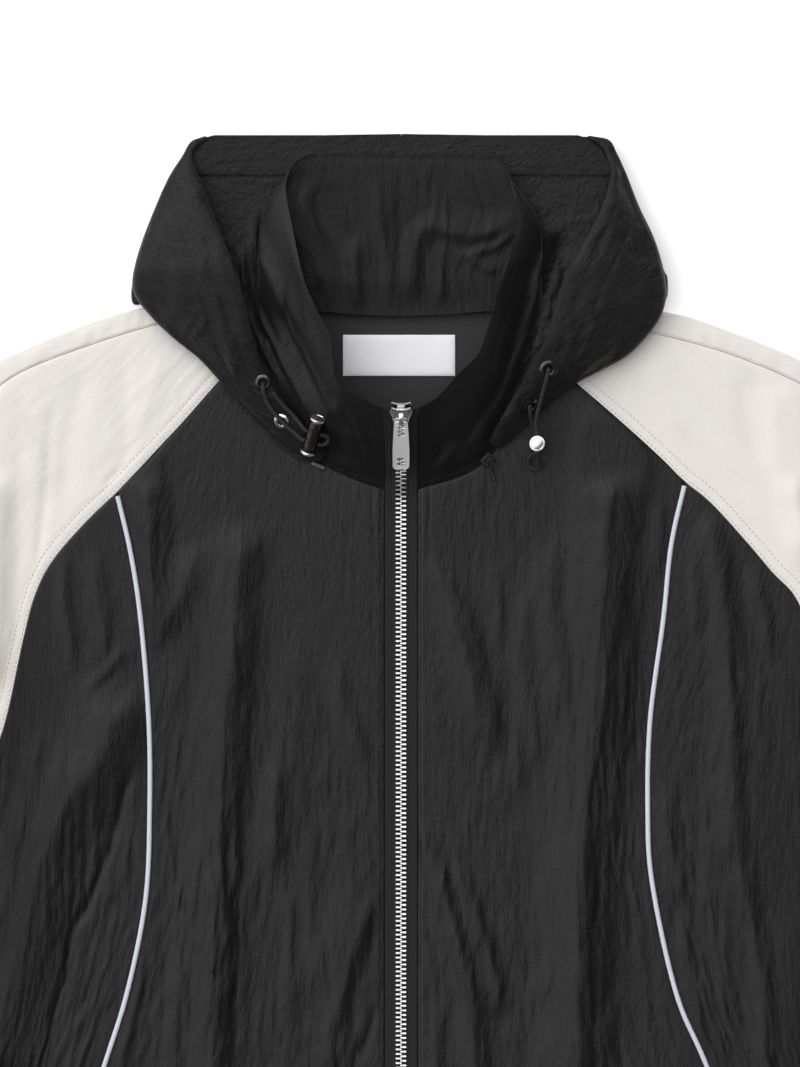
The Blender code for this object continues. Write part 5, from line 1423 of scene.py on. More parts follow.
HOOD_CREASES = [
    # height, half width to the left and right, points on the flap as seen from above
    (1.3, 1.8, 2.6, (-113, 308), (-107, 284), (-103, 274), (-94, 254)),
    (1.2, 1.5, 2.2, (-111, 285), (-104, 269), (-96, 250)),
    (0.9, 1.3, 1.8, (-105, 266), (-99, 254), (-94, 247)),
    (1.1, 2.0, 3.0, (-150, 292), (-139, 277), (-125, 265), (-112, 254)),
    (0.9, 1.4, 2.0, (-123, 286), (-132, 272)),
    (0.9, 1.6, 2.0, (-116, 285), (-122, 274), (-130, 271)),
    (1.0, 1.8, 2.2, (-145, 289), (-137, 284), (-125, 274)),
    (-0.9, 2.0, 2.0, (-139, 300), (-128, 292), (-118, 296)),
    (1.3, 7.0, 5.0, (-138, 354), (-148, 322), (-155, 300)),
    (0.8, 2.6, 2.2, (-117, 366), (-127, 352)),
    (0.8, 3.2, 2.4, (-115, 331), (-107, 311), (-100, 297)),
    (-0.8, 2.4, 2.4, (-134, 340), (-130, 318), (-122, 300)),
    (-1.2, 2.6, 2.2, (130, 342), (134, 329), (145, 316)),
    (1.1, 2.4, 1.8, (144, 316), (160, 313)),
    (1.1, 1.8, 2.2, (118, 296), (122, 284), (118, 276), (110, 269)),
    (0.9, 2.2, 1.8, (105, 295), (112, 288), (114, 280), (105, 267)),
    (1.2, 1.6, 1.6, (123, 286), (132, 271)),
    (1.0, 2.0, 2.0, (129, 290), (138, 297), (149, 300)),
    (-0.9, 3.0, 3.0, (114, 331), (123, 316), (132, 305)),
    (0.8, 2.0, 2.0, (104, 290), (101, 275), (102, 264)),
    (1.0, 3.0, 2.4, (103, 252), (119, 262), (132, 270)),
    (-0.9, 2.0, 2.0, (136, 286), (146, 278), (150, 284)),
    (0.9, 1.8, 2.4, (90, 262), (98, 251), (99, 243)),
    (1.1, 6.0, 5.0, (128, 366), (138, 346), (150, 326)),
]
CHANNEL_INSET = 25.0
HEM_STITCH_INSET = 9.0
HOOD_GROOVE = (0.5, 0.9)
# Height, distance from the rim and half width of the rolled hem.
HOOD_BAND = (0.7, 4.8, 3.6)
EYELET_FLAT = 5.0


def hood_half(side):
    """One half of the hood with its folded lower edge. Returns its outer face."""
    outer = hood_grid(side, HOOD_ROWS, HOOD_FLOOR, HOOD_FOLD, HOOD_FLAP)
    up_at = (HOOD_ROWS // 8, HOOD_FLOOR // 2)
    normal = -turned_up(smoothed_normals(outer, 3), up_at)
    across, along = grid_runs(outer)
    from_rim = across[:, -1:] - across
    column = np.arange(outer.shape[1])[None]
    on_flap = ease((column - HOOD_FLOOR - HOOD_FOLD / 2) / 8)
    for _, where, x, y, diameter, _ in EYELETS:
        if where == side:
            away = np.hypot(outer[..., 0] - x, outer[..., 1] - y)
            on_flap = on_flap * ease((away - diameter / 2) / EYELET_FLAT)
    seed = seed_of("hood", side)
    rim_run = along[:, -1:] + 0 * across
    rows = np.arange(outer.shape[0])[:, None] / HOOD_ROWS
    ends = ease(rows / 0.05) * ease((1 - rows) / 0.14)
    rumple = crinkle(from_rim, rim_run, seed, 8.0, 24.0) + 0.8 * noise(from_rim / 15, rim_run / 27, seed + 5)
    rumple += 0.35 * noise(from_rim / 5 + rim_run / 19, rim_run / 8, seed + 6)
    outward = on_flap * ends * rumple * ease(from_rim / 9)
    placed = crease_lines(outer[..., :2].reshape(-1, 2), HOOD_CREASES).reshape(across.shape)
    outward += on_flap * ends * placed
    depth, half_width = HOOD_GROOVE
    outward -= depth * on_flap * ends * hump(from_rim - CHANNEL_INSET, half_width)
    height, middle, half_width = HOOD_BAND
    band = np.exp(-(((from_rim - middle) / half_width) ** 4))
    outward += height * on_flap * (band * (1 + 0.5 * noise(rim_run / 5.0, from_rim / 12, seed + 7)))
    floor = (1 - ease((column - HOOD_FLOOR + 6) / 6)) * ease(across / 6)
    lift = floor * 0.55 * (1 + 1.5 * crinkle(outer[..., 1], outer[..., 0], seed + 9, 4.4, 14.0))
    shifted = outer + normal * (outward - np.clip(lift, 0, 1.4))[..., None]
    inner = shifted + turned_up(smoothed_normals(shifted, 1), up_at) * CLOTH
    fold = inner_fold(side)
    cloth(
        f"hood_shell_{side}", f"hood_{side}", "hood", (shifted, inner, np.dstack([across, along])),
        (fold, fold - [0, 0, CLOTH], np.dstack(grid_runs(fold))),
    )
    return shifted


INNER_FOLDS = {
    # lines of the fold: under the hood's rim, along the collar and its upper edge, then its creases
    "left": (
        [(-111, 331, 15), (-102, 302, 18), (-96, 275, 19), (-87, 250, 16.5), (-77, 234, 15.5),
         (-64, 218, 12.5)],
        [(-86.4, 348.7), (-86.2, 320), (-83.4, 290), (-75.6, 266), (-62.6, 238), (-51.5, 220)],
        [(-111, 331, 15), (-105.6, 333.7, 15.4), (-99.6, 339.7, 15.4), (-90, 346, 15)],
        [(1.5, 3.5, 2.0, (-97, 338), (-94, 310), (-90, 286), (-81, 262), (-70, 242)),
         (-1.4, 2.5, 2.5, (-92, 334), (-89, 306), (-85, 286), (-76, 262), (-64, 240)),
         (0.8, 1.6, 1.6, (-104, 332), (-98, 322)), (0.8, 1.6, 1.6, (-99, 336), (-92, 326)),
         (-0.8, 1.6, 1.6, (-102, 318), (-95, 306))],
    ),
    "right": (
        [(117, 330, 14), (109, 315, 15), (101, 299, 17), (96, 284, 18), (90, 268, 18), (83, 252, 17.5),
         (73, 238, 16)],
        [(86.5, 334.5), (84, 312), (80.5, 292), (76, 270), (71.6, 251), (66, 238)],
        [(117, 330, 14), (106, 335, 13.5), (96, 336.5, 13.5)],
        [(1.4, 3.0, 3.5, (97, 330), (91, 306), (87, 286), (80, 264), (74, 248)),
         (-1.3, 2.5, 2.5, (102, 322), (96, 300), (90, 280)), (1.0, 1.8, 1.8, (92, 300), (84, 296)),
         (1.0, 1.6, 1.6, (90, 288), (83, 283)), (-0.9, 1.6, 1.6, (88, 278), (80, 274)),
         (0.9, 1.6, 1.6, (86, 270), (79, 266))],
    ),
}


def inner_fold(side):
    """The hood's lower edge, folded in between the hood's rim and the collar's wall."""
    outer_points, inner_points, top_points, creases = INNER_FOLDS[side]
    outer, inner = smooth_line(outer_points), smooth_line(inner_points)
    wall = collar_outside.reshape(-1, 3)
    rest = np.array([wall[np.argmin(np.hypot(*(wall[:, :2] - point).T)), 2] for point in inner])
    inner = np.column_stack([inner, evened(rest, 6) + 0.9])
    across, up = np.linspace(0, 1, 25), np.linspace(0, 1, 91)
    top = smooth_line([*top_points, tuple(inner[0])])
    foot = np.array([outer[-1], inner[-1]])
    borders = ((top, across), (foot, across), (outer, up), (inner, up))
    grid = patch(*(at_share(line, where) for line, where in borders), across, up)
    run_across, run_along = grid_runs(grid)
    grid[..., 2] -= 1.6 * np.sin(math.pi * across)[None] * ease(up[:, None] / 0.1)
    shape = crease_lines(grid[..., :2].reshape(-1, 2), creases).reshape(run_across.shape)
    shape += 0.5 * crinkle(run_across, run_along, seed_of("inner_fold", side), 6.0, 21.0)
    edges = ease(across / 0.1) * ease((1 - across) / 0.1)
    grid[..., 2] += shape * edges[None] * ease(up[:, None] / 0.06)
    return grid


def facing_strip():
    rows = np.array(FACING_ROWS)
    low, high = rows[[0, -1], 0]
    y = shares(high - low, 1.6) * (high - low) + low
    left, right = (np.interp(y, rows[:, 0], rows[:, k]) for k in (1, 2))
    across = shares(260.0, 2.2)
    plan = np.stack([np.column_stack([mix(left, right, t), y]) for t in across], axis=1)
    run_across, run_along = grid_runs(plan)
    base = HOOD_REST + WALL + SEAM_GAP + 0.1
    away = np.minimum(run_along, run_along[-1:] - run_along)
    lift = 0.6 * (1 - np.exp(-away / 2.0)) * (1 + 1.1 * crinkle(run_along * 2.0, run_across, 203, 9.0, 20.0))
    lift += 0.3 * noise(run_across / 3.4, run_along / 16, 205) * np.exp(-away / 5)
    outer = np.dstack([plan, base + 0.5 + np.clip(lift, -0.3, 1.6)])
    uv = np.dstack([run_along, run_across])
    cloth("hood_mouth_facing", "hood_facing", "hood", (outer, outer - [0, 0, CLOTH], uv))
    return outer


def smooth_closed(points, per_span):
    """A closed Catmull-Rom ring through the points."""
    ring = list(points)
    line = smooth_line(ring[-3:] + ring + ring[:3], per_span)
    return line[3 * per_span : -3 * per_span + 1][: len(ring) * per_span]


def hood_crown():
    """The hidden crown folded under: its layers' edges."""
    ring = smooth_closed(HOOD_UNDER_OUTLINE, 4)
    rings = np.stack([
        np.column_stack([inset_ring(ring, inset), np.full(len(ring), z)]) for z, inset in HOOD_UNDER_LAYERS
    ])
    rings[2:6, :, 2] += 0.25 * uneven(run_of(ring), 9, 211)

    def drawn_in(level, share):
        """A ring of the level's flat face, this share of the way to the middle."""
        return np.column_stack([mix(level[:, :2], ring.mean(0), share), level[:, 2]])

    bottoms = [drawn_in(rings[0], share) for share in (0.9, 0.3)]
    tops = [drawn_in(rings[-1], share) for share in (0.3, 0.9)]
    grid = np.concatenate([bottoms, rings, tops])
    walls, at = tube_faces(*grid.shape[:2])
    across, along = grid_runs(grid)
    uv = np.dstack([along, across]).reshape(-1, 2)
    faces = walls + [at[0][::-1], at[-1]]
    turn_out(mesh_piece("hood_crown_folded", grid.reshape(-1, 3), faces, "black", uv, "hood_under"))


# Collar.
def collar_seat(line):
    """Outer-face height along the neck seam: the front's top at the front, over the hood at the back."""
    return mix(front_height(line) + WALL, over_hood(line), ease((line[:, 1] - 262) / 30))


def over_hood(points):
    """Height that just clears the hood's lower layer."""
    return mix(hood_floor_height(points), HOOD_REST, COLLAR_SPRING) + WALL + COLLAR_CLEARANCE


def collar_base():
    """The collar's lower edge round the neck: x, y, z of its outer face, from zip to zip."""
    halves = []
    for side in SIDES:
        line = np.vstack([LINES["neck"][side], LINES["neck_side"][side][1:], LINES["neck_back"][side][1:]])
        halves.append(np.column_stack([line, collar_seat(line)]))
    return np.vstack([halves[0], halves[1][::-1][1:]])


def collar_grid(round_cells, height_cells):
    """The collar's outer face: rows round the neck, columns from the neck seam to the free edge."""
    turn = np.linspace(0, 1, round_cells + 1)
    middle = np.abs(turn - 0.5)
    seam_share, edge_share = np.array(COLLAR_MATCH).T
    half_turn = 1 - 2 * middle
    step = (seam_share + edge_share) / 2
    base, rim = (
        at_length(line, run_of(line)[-1] * np.where(turn < 0.5, share / 2, 1 - share / 2))
        for line, share in (
            (collar_base(), np.interp(half_turn, step, seam_share)),
            (smooth_line(COLLAR_RIM), np.interp(half_turn, step, edge_share)),
        )
    )
    away = unit(base[:, :2] - COLLAR_CENTER)
    at, spread = COLLAR_CORNER
    corner = hump(middle - at, spread)
    lying = np.exp(-((middle / COLLAR_LIE) ** 6))
    front = ease(np.minimum(turn, 1 - turn) / 0.07)
    sideways = np.column_stack([np.sign(turn - 0.5), np.zeros(len(turn))])
    grid = np.zeros((round_cells + 1, height_cells + 1, 3))
    for k, v in enumerate(np.linspace(0, 1, height_cells + 1)):
        swell = COLLAR_BULGE * math.sin(math.pi * v)
        belly = COLLAR_BELLY * math.sin(math.pi * v)
        plan = mix(base[:, :2], rim[:, :2], v)
        plan = plan + sideways * (corner * swell)[:, None]
        plan = plan + away * ((1 - corner) * (1 - lying) * front * belly)[:, None]
        standing = mix(base[:, 2], rim[:, 2], v**COLLAR_CURVE)
        waves = np.sin(2 * math.pi * (2.2 * v + 3.0 * turn)) * (1 - lying) * front
        standing = standing + COLLAR_BUCKLE * math.sin(math.pi * v) * waves
        flat = over_hood(plan) + (rim[:, 2] - HOOD_REST - WALL - COLLAR_CLEARANCE) * ease((v - 0.25) / 0.75)
        height = mix(standing, np.maximum(flat, over_hood(plan)), lying)
        behind = ease((plan[:, 1] - 268) / 20)
        grid[:, k] = np.column_stack([plan, mix(height, np.maximum(height, over_hood(plan)), behind)])
    grid[:, 0, :2] -= away * NECK_INSET
    grid[[0, -1], :, 0] = [[-ZIP_EDGE_X - 0.2], [ZIP_EDGE_X + 0.2]]
    return grid


COLLAR_ROUND = 330
COLLAR_HIGH = 46
COLLAR_SAG = {
    # y, and how far the upper wall bellies out sideways there
    "left": [
        (300, 0), (312, 0.5), (324, 2.4), (332, 4.7), (343, 8.4), (358, 11.5), (366, 7.0), (374, 1.0),
        (380, 0),
    ],
    "right": [
        (300, -3), (312, -4), (322, 0), (332, 4), (340, 7), (350, 10), (362, 7.5), (372, 2.0), (380, 0),
    ],
}
COLLAR_CREASES = [
    # height towards the neck, half width to the left and right, points as seen from above
    (2.2, 4.5, 2.2, (-84, 306), (-76, 290), (-64, 267), (-52, 243), (-40, 214), (-31, 196)),
    (-1.7, 3.0, 4.0, (-89, 300), (-83, 283), (-72, 261), (-60, 238), (-50, 218)),
    (1.5, 3.0, 1.8, (-72, 318), (-70, 280), (-60, 257), (-49, 233)),
    (-1.2, 3.0, 3.0, (-60, 300), (-54, 274), (-50, 250)),
    (1.1, 2.2, 2.2, (-40, 236), (-28, 214), (-22, 198)),
    (-1.2, 3.0, 3.0, (-32, 232), (-20, 206), (-16, 192)),
    (0.9, 4.0, 6.0, (80, 346), (82, 330), (80, 314), (77, 297), (74, 280), (69, 258), (63, 238)),
    (1.3, 7.0, 5.0, (72, 300), (62, 262), (50, 240), (38, 224)),
    (-1.2, 3.0, 3.0, (45, 232), (36, 210), (22, 190)),
    (-0.9, 2.6, 2.6, (56, 230), (46, 208), (38, 196)),
    (1.2, 2.2, 2.2, (34, 226), (28, 206), (16, 192)),
    (2.2, 6.0, 4.0, (5, 290), (7, 320), (15, 339), (34, 335), (50, 337), (67, 346)),
    (1.8, 2.8, 1.8, (38, 323), (54, 314), (64, 314)),
    (1.6, 3.2, 2.0, (30, 321), (45, 324), (56, 329), (67, 341)),
    (-0.9, 3.0, 3.0, (41, 318), (39, 304), (43, 288)),
    (-0.9, 2.6, 3.4, (22, 378), (27, 362), (32, 354), (44, 345)),
    (-0.9, 2.6, 3.4, (52, 378), (56, 362), (54, 354), (44, 344)),
    (2.0, 6.0, 3.6, (-25, 340), (-29, 312), (-25, 286)),
    (1.4, 9.0, 5.0, (-60, 372), (-58, 340), (-50, 314), (-46, 290)),
    (-0.9, 2.2, 2.2, (1, 372), (3, 350), (4, 328)),
    (0.9, 4.0, 3.0, (-49, 372), (-47, 348), (-39, 322)),
    (-0.9, 2.8, 2.8, (-38, 368), (-30, 342), (-27, 322)),
    (1.7, 5.0, 3.4, (-14, 376), (-12, 346), (-8, 312), (-8, 288)),
    (-0.8, 2.4, 2.4, (-54, 330), (-50, 304), (-46, 290)),
    (0.8, 3.0, 2.4, (20, 330), (24, 308), (22, 290)),
]


# Depth, distance from the free edge and half width of the groove at its stitches.
RIM_GROOVE = (0.55, 2.6, 0.8)


def collar_cloth():
    """The collar's wall. Returns its inside and its outside."""
    outer = collar_grid(COLLAR_ROUND, COLLAR_HIGH)
    # The way to the collar's inside, which is the upper side at the back.
    normal = turned_up(smoothed_normals(outer, 4), (COLLAR_ROUND // 2, COLLAR_HIGH // 2))
    from_seam, along = grid_runs(outer)
    from_rim = from_seam[:, -1:] - from_seam
    v = np.linspace(0, 1, COLLAR_HIGH + 1)[None]
    turn = np.linspace(0, 1, COLLAR_ROUND + 1)[:, None]
    ends = ease(np.minimum(turn, 1 - turn) / 0.03)
    lying = np.exp(-((np.abs(turn - 0.5) / COLLAR_LIE) ** 6))
    girth = along.mean(1, keepdims=True) * np.ones_like(from_seam)
    upright = crinkle(girth * 1.25, from_seam, 223, 9.0, 40.0)
    around = crinkle(from_seam * 1.3, girth, 227, 9.0, 46.0)
    rumple = mix(1.2 * around, 1.05 * upright, lying)
    body = np.sin(math.pi * v) ** 0.7
    inward = ends * body * rumple * mix(0.7, 1.5, lying)
    inward += ends * crease_lines(outer[..., :2].reshape(-1, 2), COLLAR_CREASES).reshape(girth.shape)
    inward += 0.35 * noise(girth / 3.6, from_seam / 14, 229) * np.exp(-from_seam / 7) * ease(from_seam / 1.5)
    depth, inset, half_width = RIM_GROOVE
    inward -= depth * hump(from_rim - inset, half_width)
    inward = np.where(lying > 0.5, np.clip(inward, -0.35, 2.6), inward)
    wall = (WALL - CLOTH) / 2
    sags = [np.interp(outer[..., 1], *np.array(COLLAR_SAG[side]).T) for side in SIDES]
    sag = np.where(outer[..., 0] < 0, -sags[0], sags[1]) * np.sin(math.pi * v) ** 0.8
    sag = sag * (np.abs(turn - 0.5) > 0.07)
    leaning = outer + sag[..., None] * [1, 0, 0]
    inside = leaning + normal * (wall + CLOTH + inward)[..., None]
    outside = leaning + normal * (wall + inward)[..., None]
    for grid in (inside, outside):
        grid[[0, -1], :, 0] = outer[[0, -1], :, 0]
    cloth("collar_wall", "collar", "collar", (outside, inside, np.dstack([girth, from_seam])))
    return inside, outside


def neck_lining():
    across, up = shares(140.0, 2.0), shares(70.0, 2.0)
    back, front = smooth_line(LINING_BACK), smooth_line(LINING_FRONT)
    plan = mix(at_share(front, across)[None], at_share(back, across)[None], up[:, None, None])
    runs = grid_runs(plan)
    away = np.min(edge_distances(*runs), axis=0)
    lift = 0.3 * (1 - np.exp(-away / 4)) * (1 + crinkle(plan[..., 0], plan[..., 1], 233, 12.0, 30.0))
    outer = np.dstack([plan, WALL + SEAM_GAP + CLOTH + np.clip(lift, 0, 0.8)])
    cloth("neck_lining", "back_neck_lining", "lining", (outer, outer - [0, 0, CLOTH], np.dstack(runs)))
    return outer


def satin_label():
    width, height = LABEL_SIZE
    across, up = shares(width, 1.0), shares(height, 1.0)
    x = (across[None] - 0.5) * width + LABEL_AT[0] + 0 * up[:, None]
    y = (up[:, None] - 0.5) * height + LABEL_AT[1] + 0 * across[None]
    base = WALL + SEAM_GAP + TRIM_WALL + SEAM_GAP
    side_away = np.minimum(across, 1 - across)[None] * width
    away = np.minimum(side_away, np.minimum(up, 1 - up)[:, None] * height)
    wave = 0.22 * noise(x / 19, y / 24, 239) + 0.1 * noise(x / 6, y / 11, 241)
    lift = 0.55 * (1 - np.exp(-away / 1.1)) + wave * ease(away / 3)
    outer = np.dstack([x, y, base + CLOTH + np.maximum(lift, 0.0)])
    cloth("neck_tab", "neck_label", "label", (outer, outer - [0, 0, CLOTH], np.dstack([x, y])))
    return outer


for side_name in SIDES:
    sleeve_back(side_name)
back_face = back_cloth()
for side_name in SIDES:
    piping_cord(side_name)
collar_inside, collar_outside = collar_cloth()
hood_faces = {side_name: hood_half(side_name) for side_name in SIDES}
facing_top = facing_strip()
hood_crown()
lining_top = neck_lining()
label_top = satin_label()


# Front zip.
ZIP_DROP = SEAM_GAP + TRIM_WALL / 2
CHAIN_END = 0.9915
TAPE = 0.55
CAD_COLLAR_CELLS = (48, 8)


def zip_path():
    """Centre line of the zip, y and z of the cloth's top face beside it."""
    neck_y = NECK_SEAM["left"][0][1]
    y = np.linspace(HEM_Y + 3, neck_y - 6, 27)
    body = np.column_stack([y, front_height(np.column_stack([np.full(len(y), ZIP_EDGE_X), y])) + WALL])
    outer = collar_grid(*CAD_COLLAR_CELLS)
    wall = (outer[0] + outer[-1]) / 2
    return smooth_line(np.vstack([body, wall[1:, 1:]]), 3)


ZIP_LINE = zip_path()


def zip_frames(lengths):
    """Points at these lengths along the zip, in the tape's middle, with the ways along and out of it."""
    line = at_length(ZIP_LINE, lengths)
    run = run_of(ZIP_LINE)
    slope = unit(np.gradient(ZIP_LINE, axis=0))
    along = unit(np.column_stack([np.interp(lengths, run, column) for column in slope.T]))
    out = np.column_stack([-along[:, 1], along[:, 0]])
    none = np.zeros(len(line))
    point = np.column_stack([none, line - out * ZIP_DROP])
    return point, np.column_stack([none, along]), np.column_stack([none, out])


# Distance from the zip's middle and swell of the tape there: its cord, then its flat web.
TAPE_ROWS = [
    (2.9, 0.25), (3.2, 0.45), (3.5, 0.0), (5.0, 0.0), (6.5, 0.0), (8.0, 0.0), (9.3, 0.0), (9.7, -0.05),
]
TAPE_POINTS = 330


def zip_tape(side):
    total = run_of(ZIP_LINE)[-1]
    point, _, out = zip_frames(np.linspace(0.3, total - 0.2, TAPE_POINTS))
    run = np.linspace(0, total, TAPE_POINTS)
    reaches, swells = np.array(TAPE_ROWS).T
    wave = 0.16 * uneven(run, 17, seed_of("zip_tape", side))
    rows = []
    for reach, swell in TAPE_ROWS:
        lift = TAPE / 2 + swell + wave * ease((reach - 3.5) / 3)
        rows.append(point + np.array([SIGN[side] * reach, 0, 0]) + out * lift[:, None])
    outer = np.stack(rows, axis=1)
    inner = outer - out[:, None] * (TAPE + 2 * np.maximum(swells, 0))[None, :, None]
    uv = np.dstack(np.broadcast_arrays(reaches[None], run[:, None]))
    cloth(f"tape_{side}", f"zip_tape_{side}", "tape", (outer, inner, uv))


def select_alone(piece):
    bpy.ops.object.select_all(action="DESELECT")
    bpy.context.view_layer.objects.active = piece
    piece.select_set(True)


@contextmanager
def editing(piece):
    """Edit mode on one piece alone."""
    select_alone(piece)
    bpy.ops.object.mode_set(mode="EDIT")
    yield
    bpy.ops.object.mode_set(mode="OBJECT")


def pick(kind, test):
    """Selects only what passes the test on its middle, in millimetres, and its normal."""
    bpy.context.tool_settings.mesh_select_mode = [kind == name for name in ("VERT", "EDGE", "FACE")]
    bpy.ops.mesh.select_all(action="DESELECT")
    mesh = bpy.context.edit_object.data
    shape = bmesh.from_edit_mesh(mesh)
    for item in shape.verts if kind == "VERT" else shape.faces:
        corners = [item] if kind == "VERT" else item.verts
        middle = sum((corner.co for corner in corners), Vector()) / len(corners) / MM
        item.select = bool(test(middle, item.normal))
    shape.select_flush_mode()
    bmesh.update_edit_mesh(mesh)


def faces_outwards():
    """Turns all faces of the edited piece outwards."""
    bpy.ops.mesh.select_all(action="SELECT")
    bpy.ops.mesh.normals_make_consistent(inside=False)


def apply_modifier(piece, kind, **values):
    select_alone(piece)
    modifier = piece.modifiers.new(kind.title(), kind)
    for name, value in values.items():
        setattr(modifier, name, value)
    bpy.ops.object.modifier_apply(modifier=modifier.name)
    return piece


def round_edges(piece, width, segments=2, angle=35):
    limit = {"limit_method": "ANGLE", "angle_limit": math.radians(angle)}
    return apply_modifier(piece, "BEVEL", width=width * MM, segments=segments, **limit)


def join_or_cut(piece, other, operation):
    apply_modifier(piece, "BOOLEAN", object=other, operation=operation, solver="EXACT")
    bpy.data.objects.remove(other)
    return piece


def box(size, center, rounding, segments=2):
    """A block with rounded edges, in millimetres."""
    piece = drawn(bpy.ops.mesh.primitive_cube_add, size=1)
    sizes = Matrix.Diagonal([side * MM for side in size] + [1])
    piece.data.transform(Matrix.Translation(Vector(center) * MM) @ sizes)
    return round_edges(piece, rounding, segments)


def plate(rows, low, high, columns=4, bow=0.0):
    """A flat piece from rows of (y, half width), drawn up from one height to another."""
    # The grid is drawn this far off, so that a row that is done isn't picked again.
    far = 10.0
    piece = drawn(
        bpy.ops.mesh.primitive_grid_add,
        x_subdivisions=columns, y_subdivisions=len(rows) - 1, size=2, location=(0, far, 0),
    )
    piece.data.transform(Matrix.Translation((0, far, 0)))
    piece.location = (0, 0, 0)
    with editing(piece):
        for k, (y, half) in enumerate(rows):
            start = far - 1 + 2 * k / (len(rows) - 1)
            pick("VERT", lambda at, _: abs(at.y * MM - start) < 0.01)
            bpy.ops.transform.resize(value=(half * MM, 1, 1), center_override=(0, 0, 0))
            bpy.ops.transform.translate(value=(0, y * MM - start, low * MM))
        if bow:
            first_y, first_half = rows[0]
            for step in range(1, columns):
                x = (2 * step / columns - 1) * first_half
                pick("VERT", lambda at, _: abs(at.x - x) < 0.01 and abs(at.y - first_y) < 0.01)
                bpy.ops.transform.translate(value=(0, bow * (1 - (x / first_half) ** 2) * MM, 0))
        bpy.ops.mesh.select_all(action="SELECT")
        bpy.ops.mesh.extrude_region_move(TRANSFORM_OT_translate={"value": (0, 0, (high - low) * MM)})
        faces_outwards()
    return piece


def turned(profile, sides=32):
    """A round piece: a circle drawn on through the radii and heights of a profile."""
    radius, height = profile[0]
    piece = drawn(bpy.ops.mesh.primitive_circle_add, vertices=sides, radius=radius * MM, fill_type="NOTHING")
    piece.data.transform(Matrix.Translation((0, 0, height * MM)))
    with editing(piece):
        bpy.ops.mesh.select_mode(type="VERT")
        bpy.ops.mesh.select_all(action="SELECT")
        for (radius, height), (following, rise) in zip(profile, profile[1:]):
            bpy.ops.mesh.extrude_region_move(TRANSFORM_OT_translate={"value": (0, 0, (rise - height) * MM)})
            share = following / radius
            bpy.ops.transform.resize(value=(share, share, 1), center_override=(0, 0, rise * MM))
        bpy.ops.mesh.select_all(action="SELECT")
        bpy.ops.mesh.remove_doubles(threshold=0.02 * MM)
        faces_outwards()
    return piece


def finished(piece, name, place, finish, node, body="jacket", angle=40):
    """A hard piece put where it belongs, with its place in its mesh."""
    piece.data.transform(place)
    piece.name = piece.data.name = name
    piece.data.shade_smooth()
    sharpen(piece, angle)
    dress(piece, finish, body)
    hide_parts(node)


def copies(piece, places):
    """Points and faces of many copies of a piece, each at its own matrix, in millimetres."""
    corners = np.array([vertex.co for vertex in piece.data.vertices]) / MM
    faces = [list(polygon.vertices) for polygon in piece.data.polygons]
    points, all_faces = [], []
    for k, place in enumerate(places):
        turn = np.array(place.to_3x3())
        points.append(corners @ turn.T + np.array(place.translation) / MM)
        flipped = np.linalg.det(turn) < 0
        offset = k * len(corners)
        all_faces += [[corner + offset for corner in (face[::-1] if flipped else face)] for face in faces]
    bpy.data.objects.remove(piece)
    return np.vstack(points), all_faces


def place_matrix(across, along, out, point):
    place = Matrix((across, along, out)).transposed().to_4x4()
    place.translation = Vector(point) * MM
    return place


TOOTH_ROWS = [
    # distance from the chain's middle, half length along the chain
    (-0.55, 0.42), (0.25, 0.62), (0.75, 0.46), (1.25, 0.66), (3.3, 0.62),
]
TOOTH_HALF_HEIGHT = 1.15


def zip_chain():
    tooth = plate(TOOTH_ROWS, -TOOTH_HALF_HEIGHT, TOOTH_HALF_HEIGHT, columns=1)
    round_edges(tooth, 0.22, 1, 60)
    tooth.data.transform(Matrix.Rotation(-math.pi / 2, 4, "Z"))
    end = run_of(ZIP_LINE)[-1] * CHAIN_END - 1.0
    places = []
    for sign, start in ((1, 1.2), (-1, 1.2 + TOOTH_PITCH / 2)):
        lengths = np.arange(start, end, TOOTH_PITCH)
        for point, along, out in zip(*zip_frames(lengths)):
            places.append(place_matrix((sign, 0, 0), along, out, point))
    points, faces = copies(tooth, places)
    sharpen(mesh_piece("zip_teeth", points, faces, "bright", node="zip_chain"), 25)


SLIDER_LENGTH = 12.5
SLIDER_WIDTH = 13.6
SLIDER_OVER_RIM = 3.0
PLATE_GAP = 3.2
PLATE_THICKNESS = 1.5
BAR_AT = (10.3, 4.65)
TAB_WIDTH = 10.0
TAB_LENGTH = 38.0
TAB_THICKNESS = 1.5
TAB_BAR = 1.6
TAB_SLOT = (4.4, 10.6)
TAB_WINDOW = (5.0, 7.0)
TAB_END_WALL = 2.2


def slider_frame():
    """Matrix of the slider: X across, Y down the zip, Z out of the cloth, at the chain's middle."""
    line = at_length(ZIP_LINE, np.linspace(0.98, 1.0, 9) * run_of(ZIP_LINE)[-1])
    along = unit(np.gradient(line, axis=0))
    normal = np.column_stack([-along[:, 1], along[:, 0]])
    (y, z), (ny, nz) = (line - normal * ZIP_DROP)[-1], normal[-4]
    out, across = Vector((0, ny, nz)), Vector((-1, 0, 0))
    place = place_matrix(across, out.cross(across), out, (0, y, z))
    return place @ Matrix.Translation((0, -SLIDER_OVER_RIM * MM, 0))


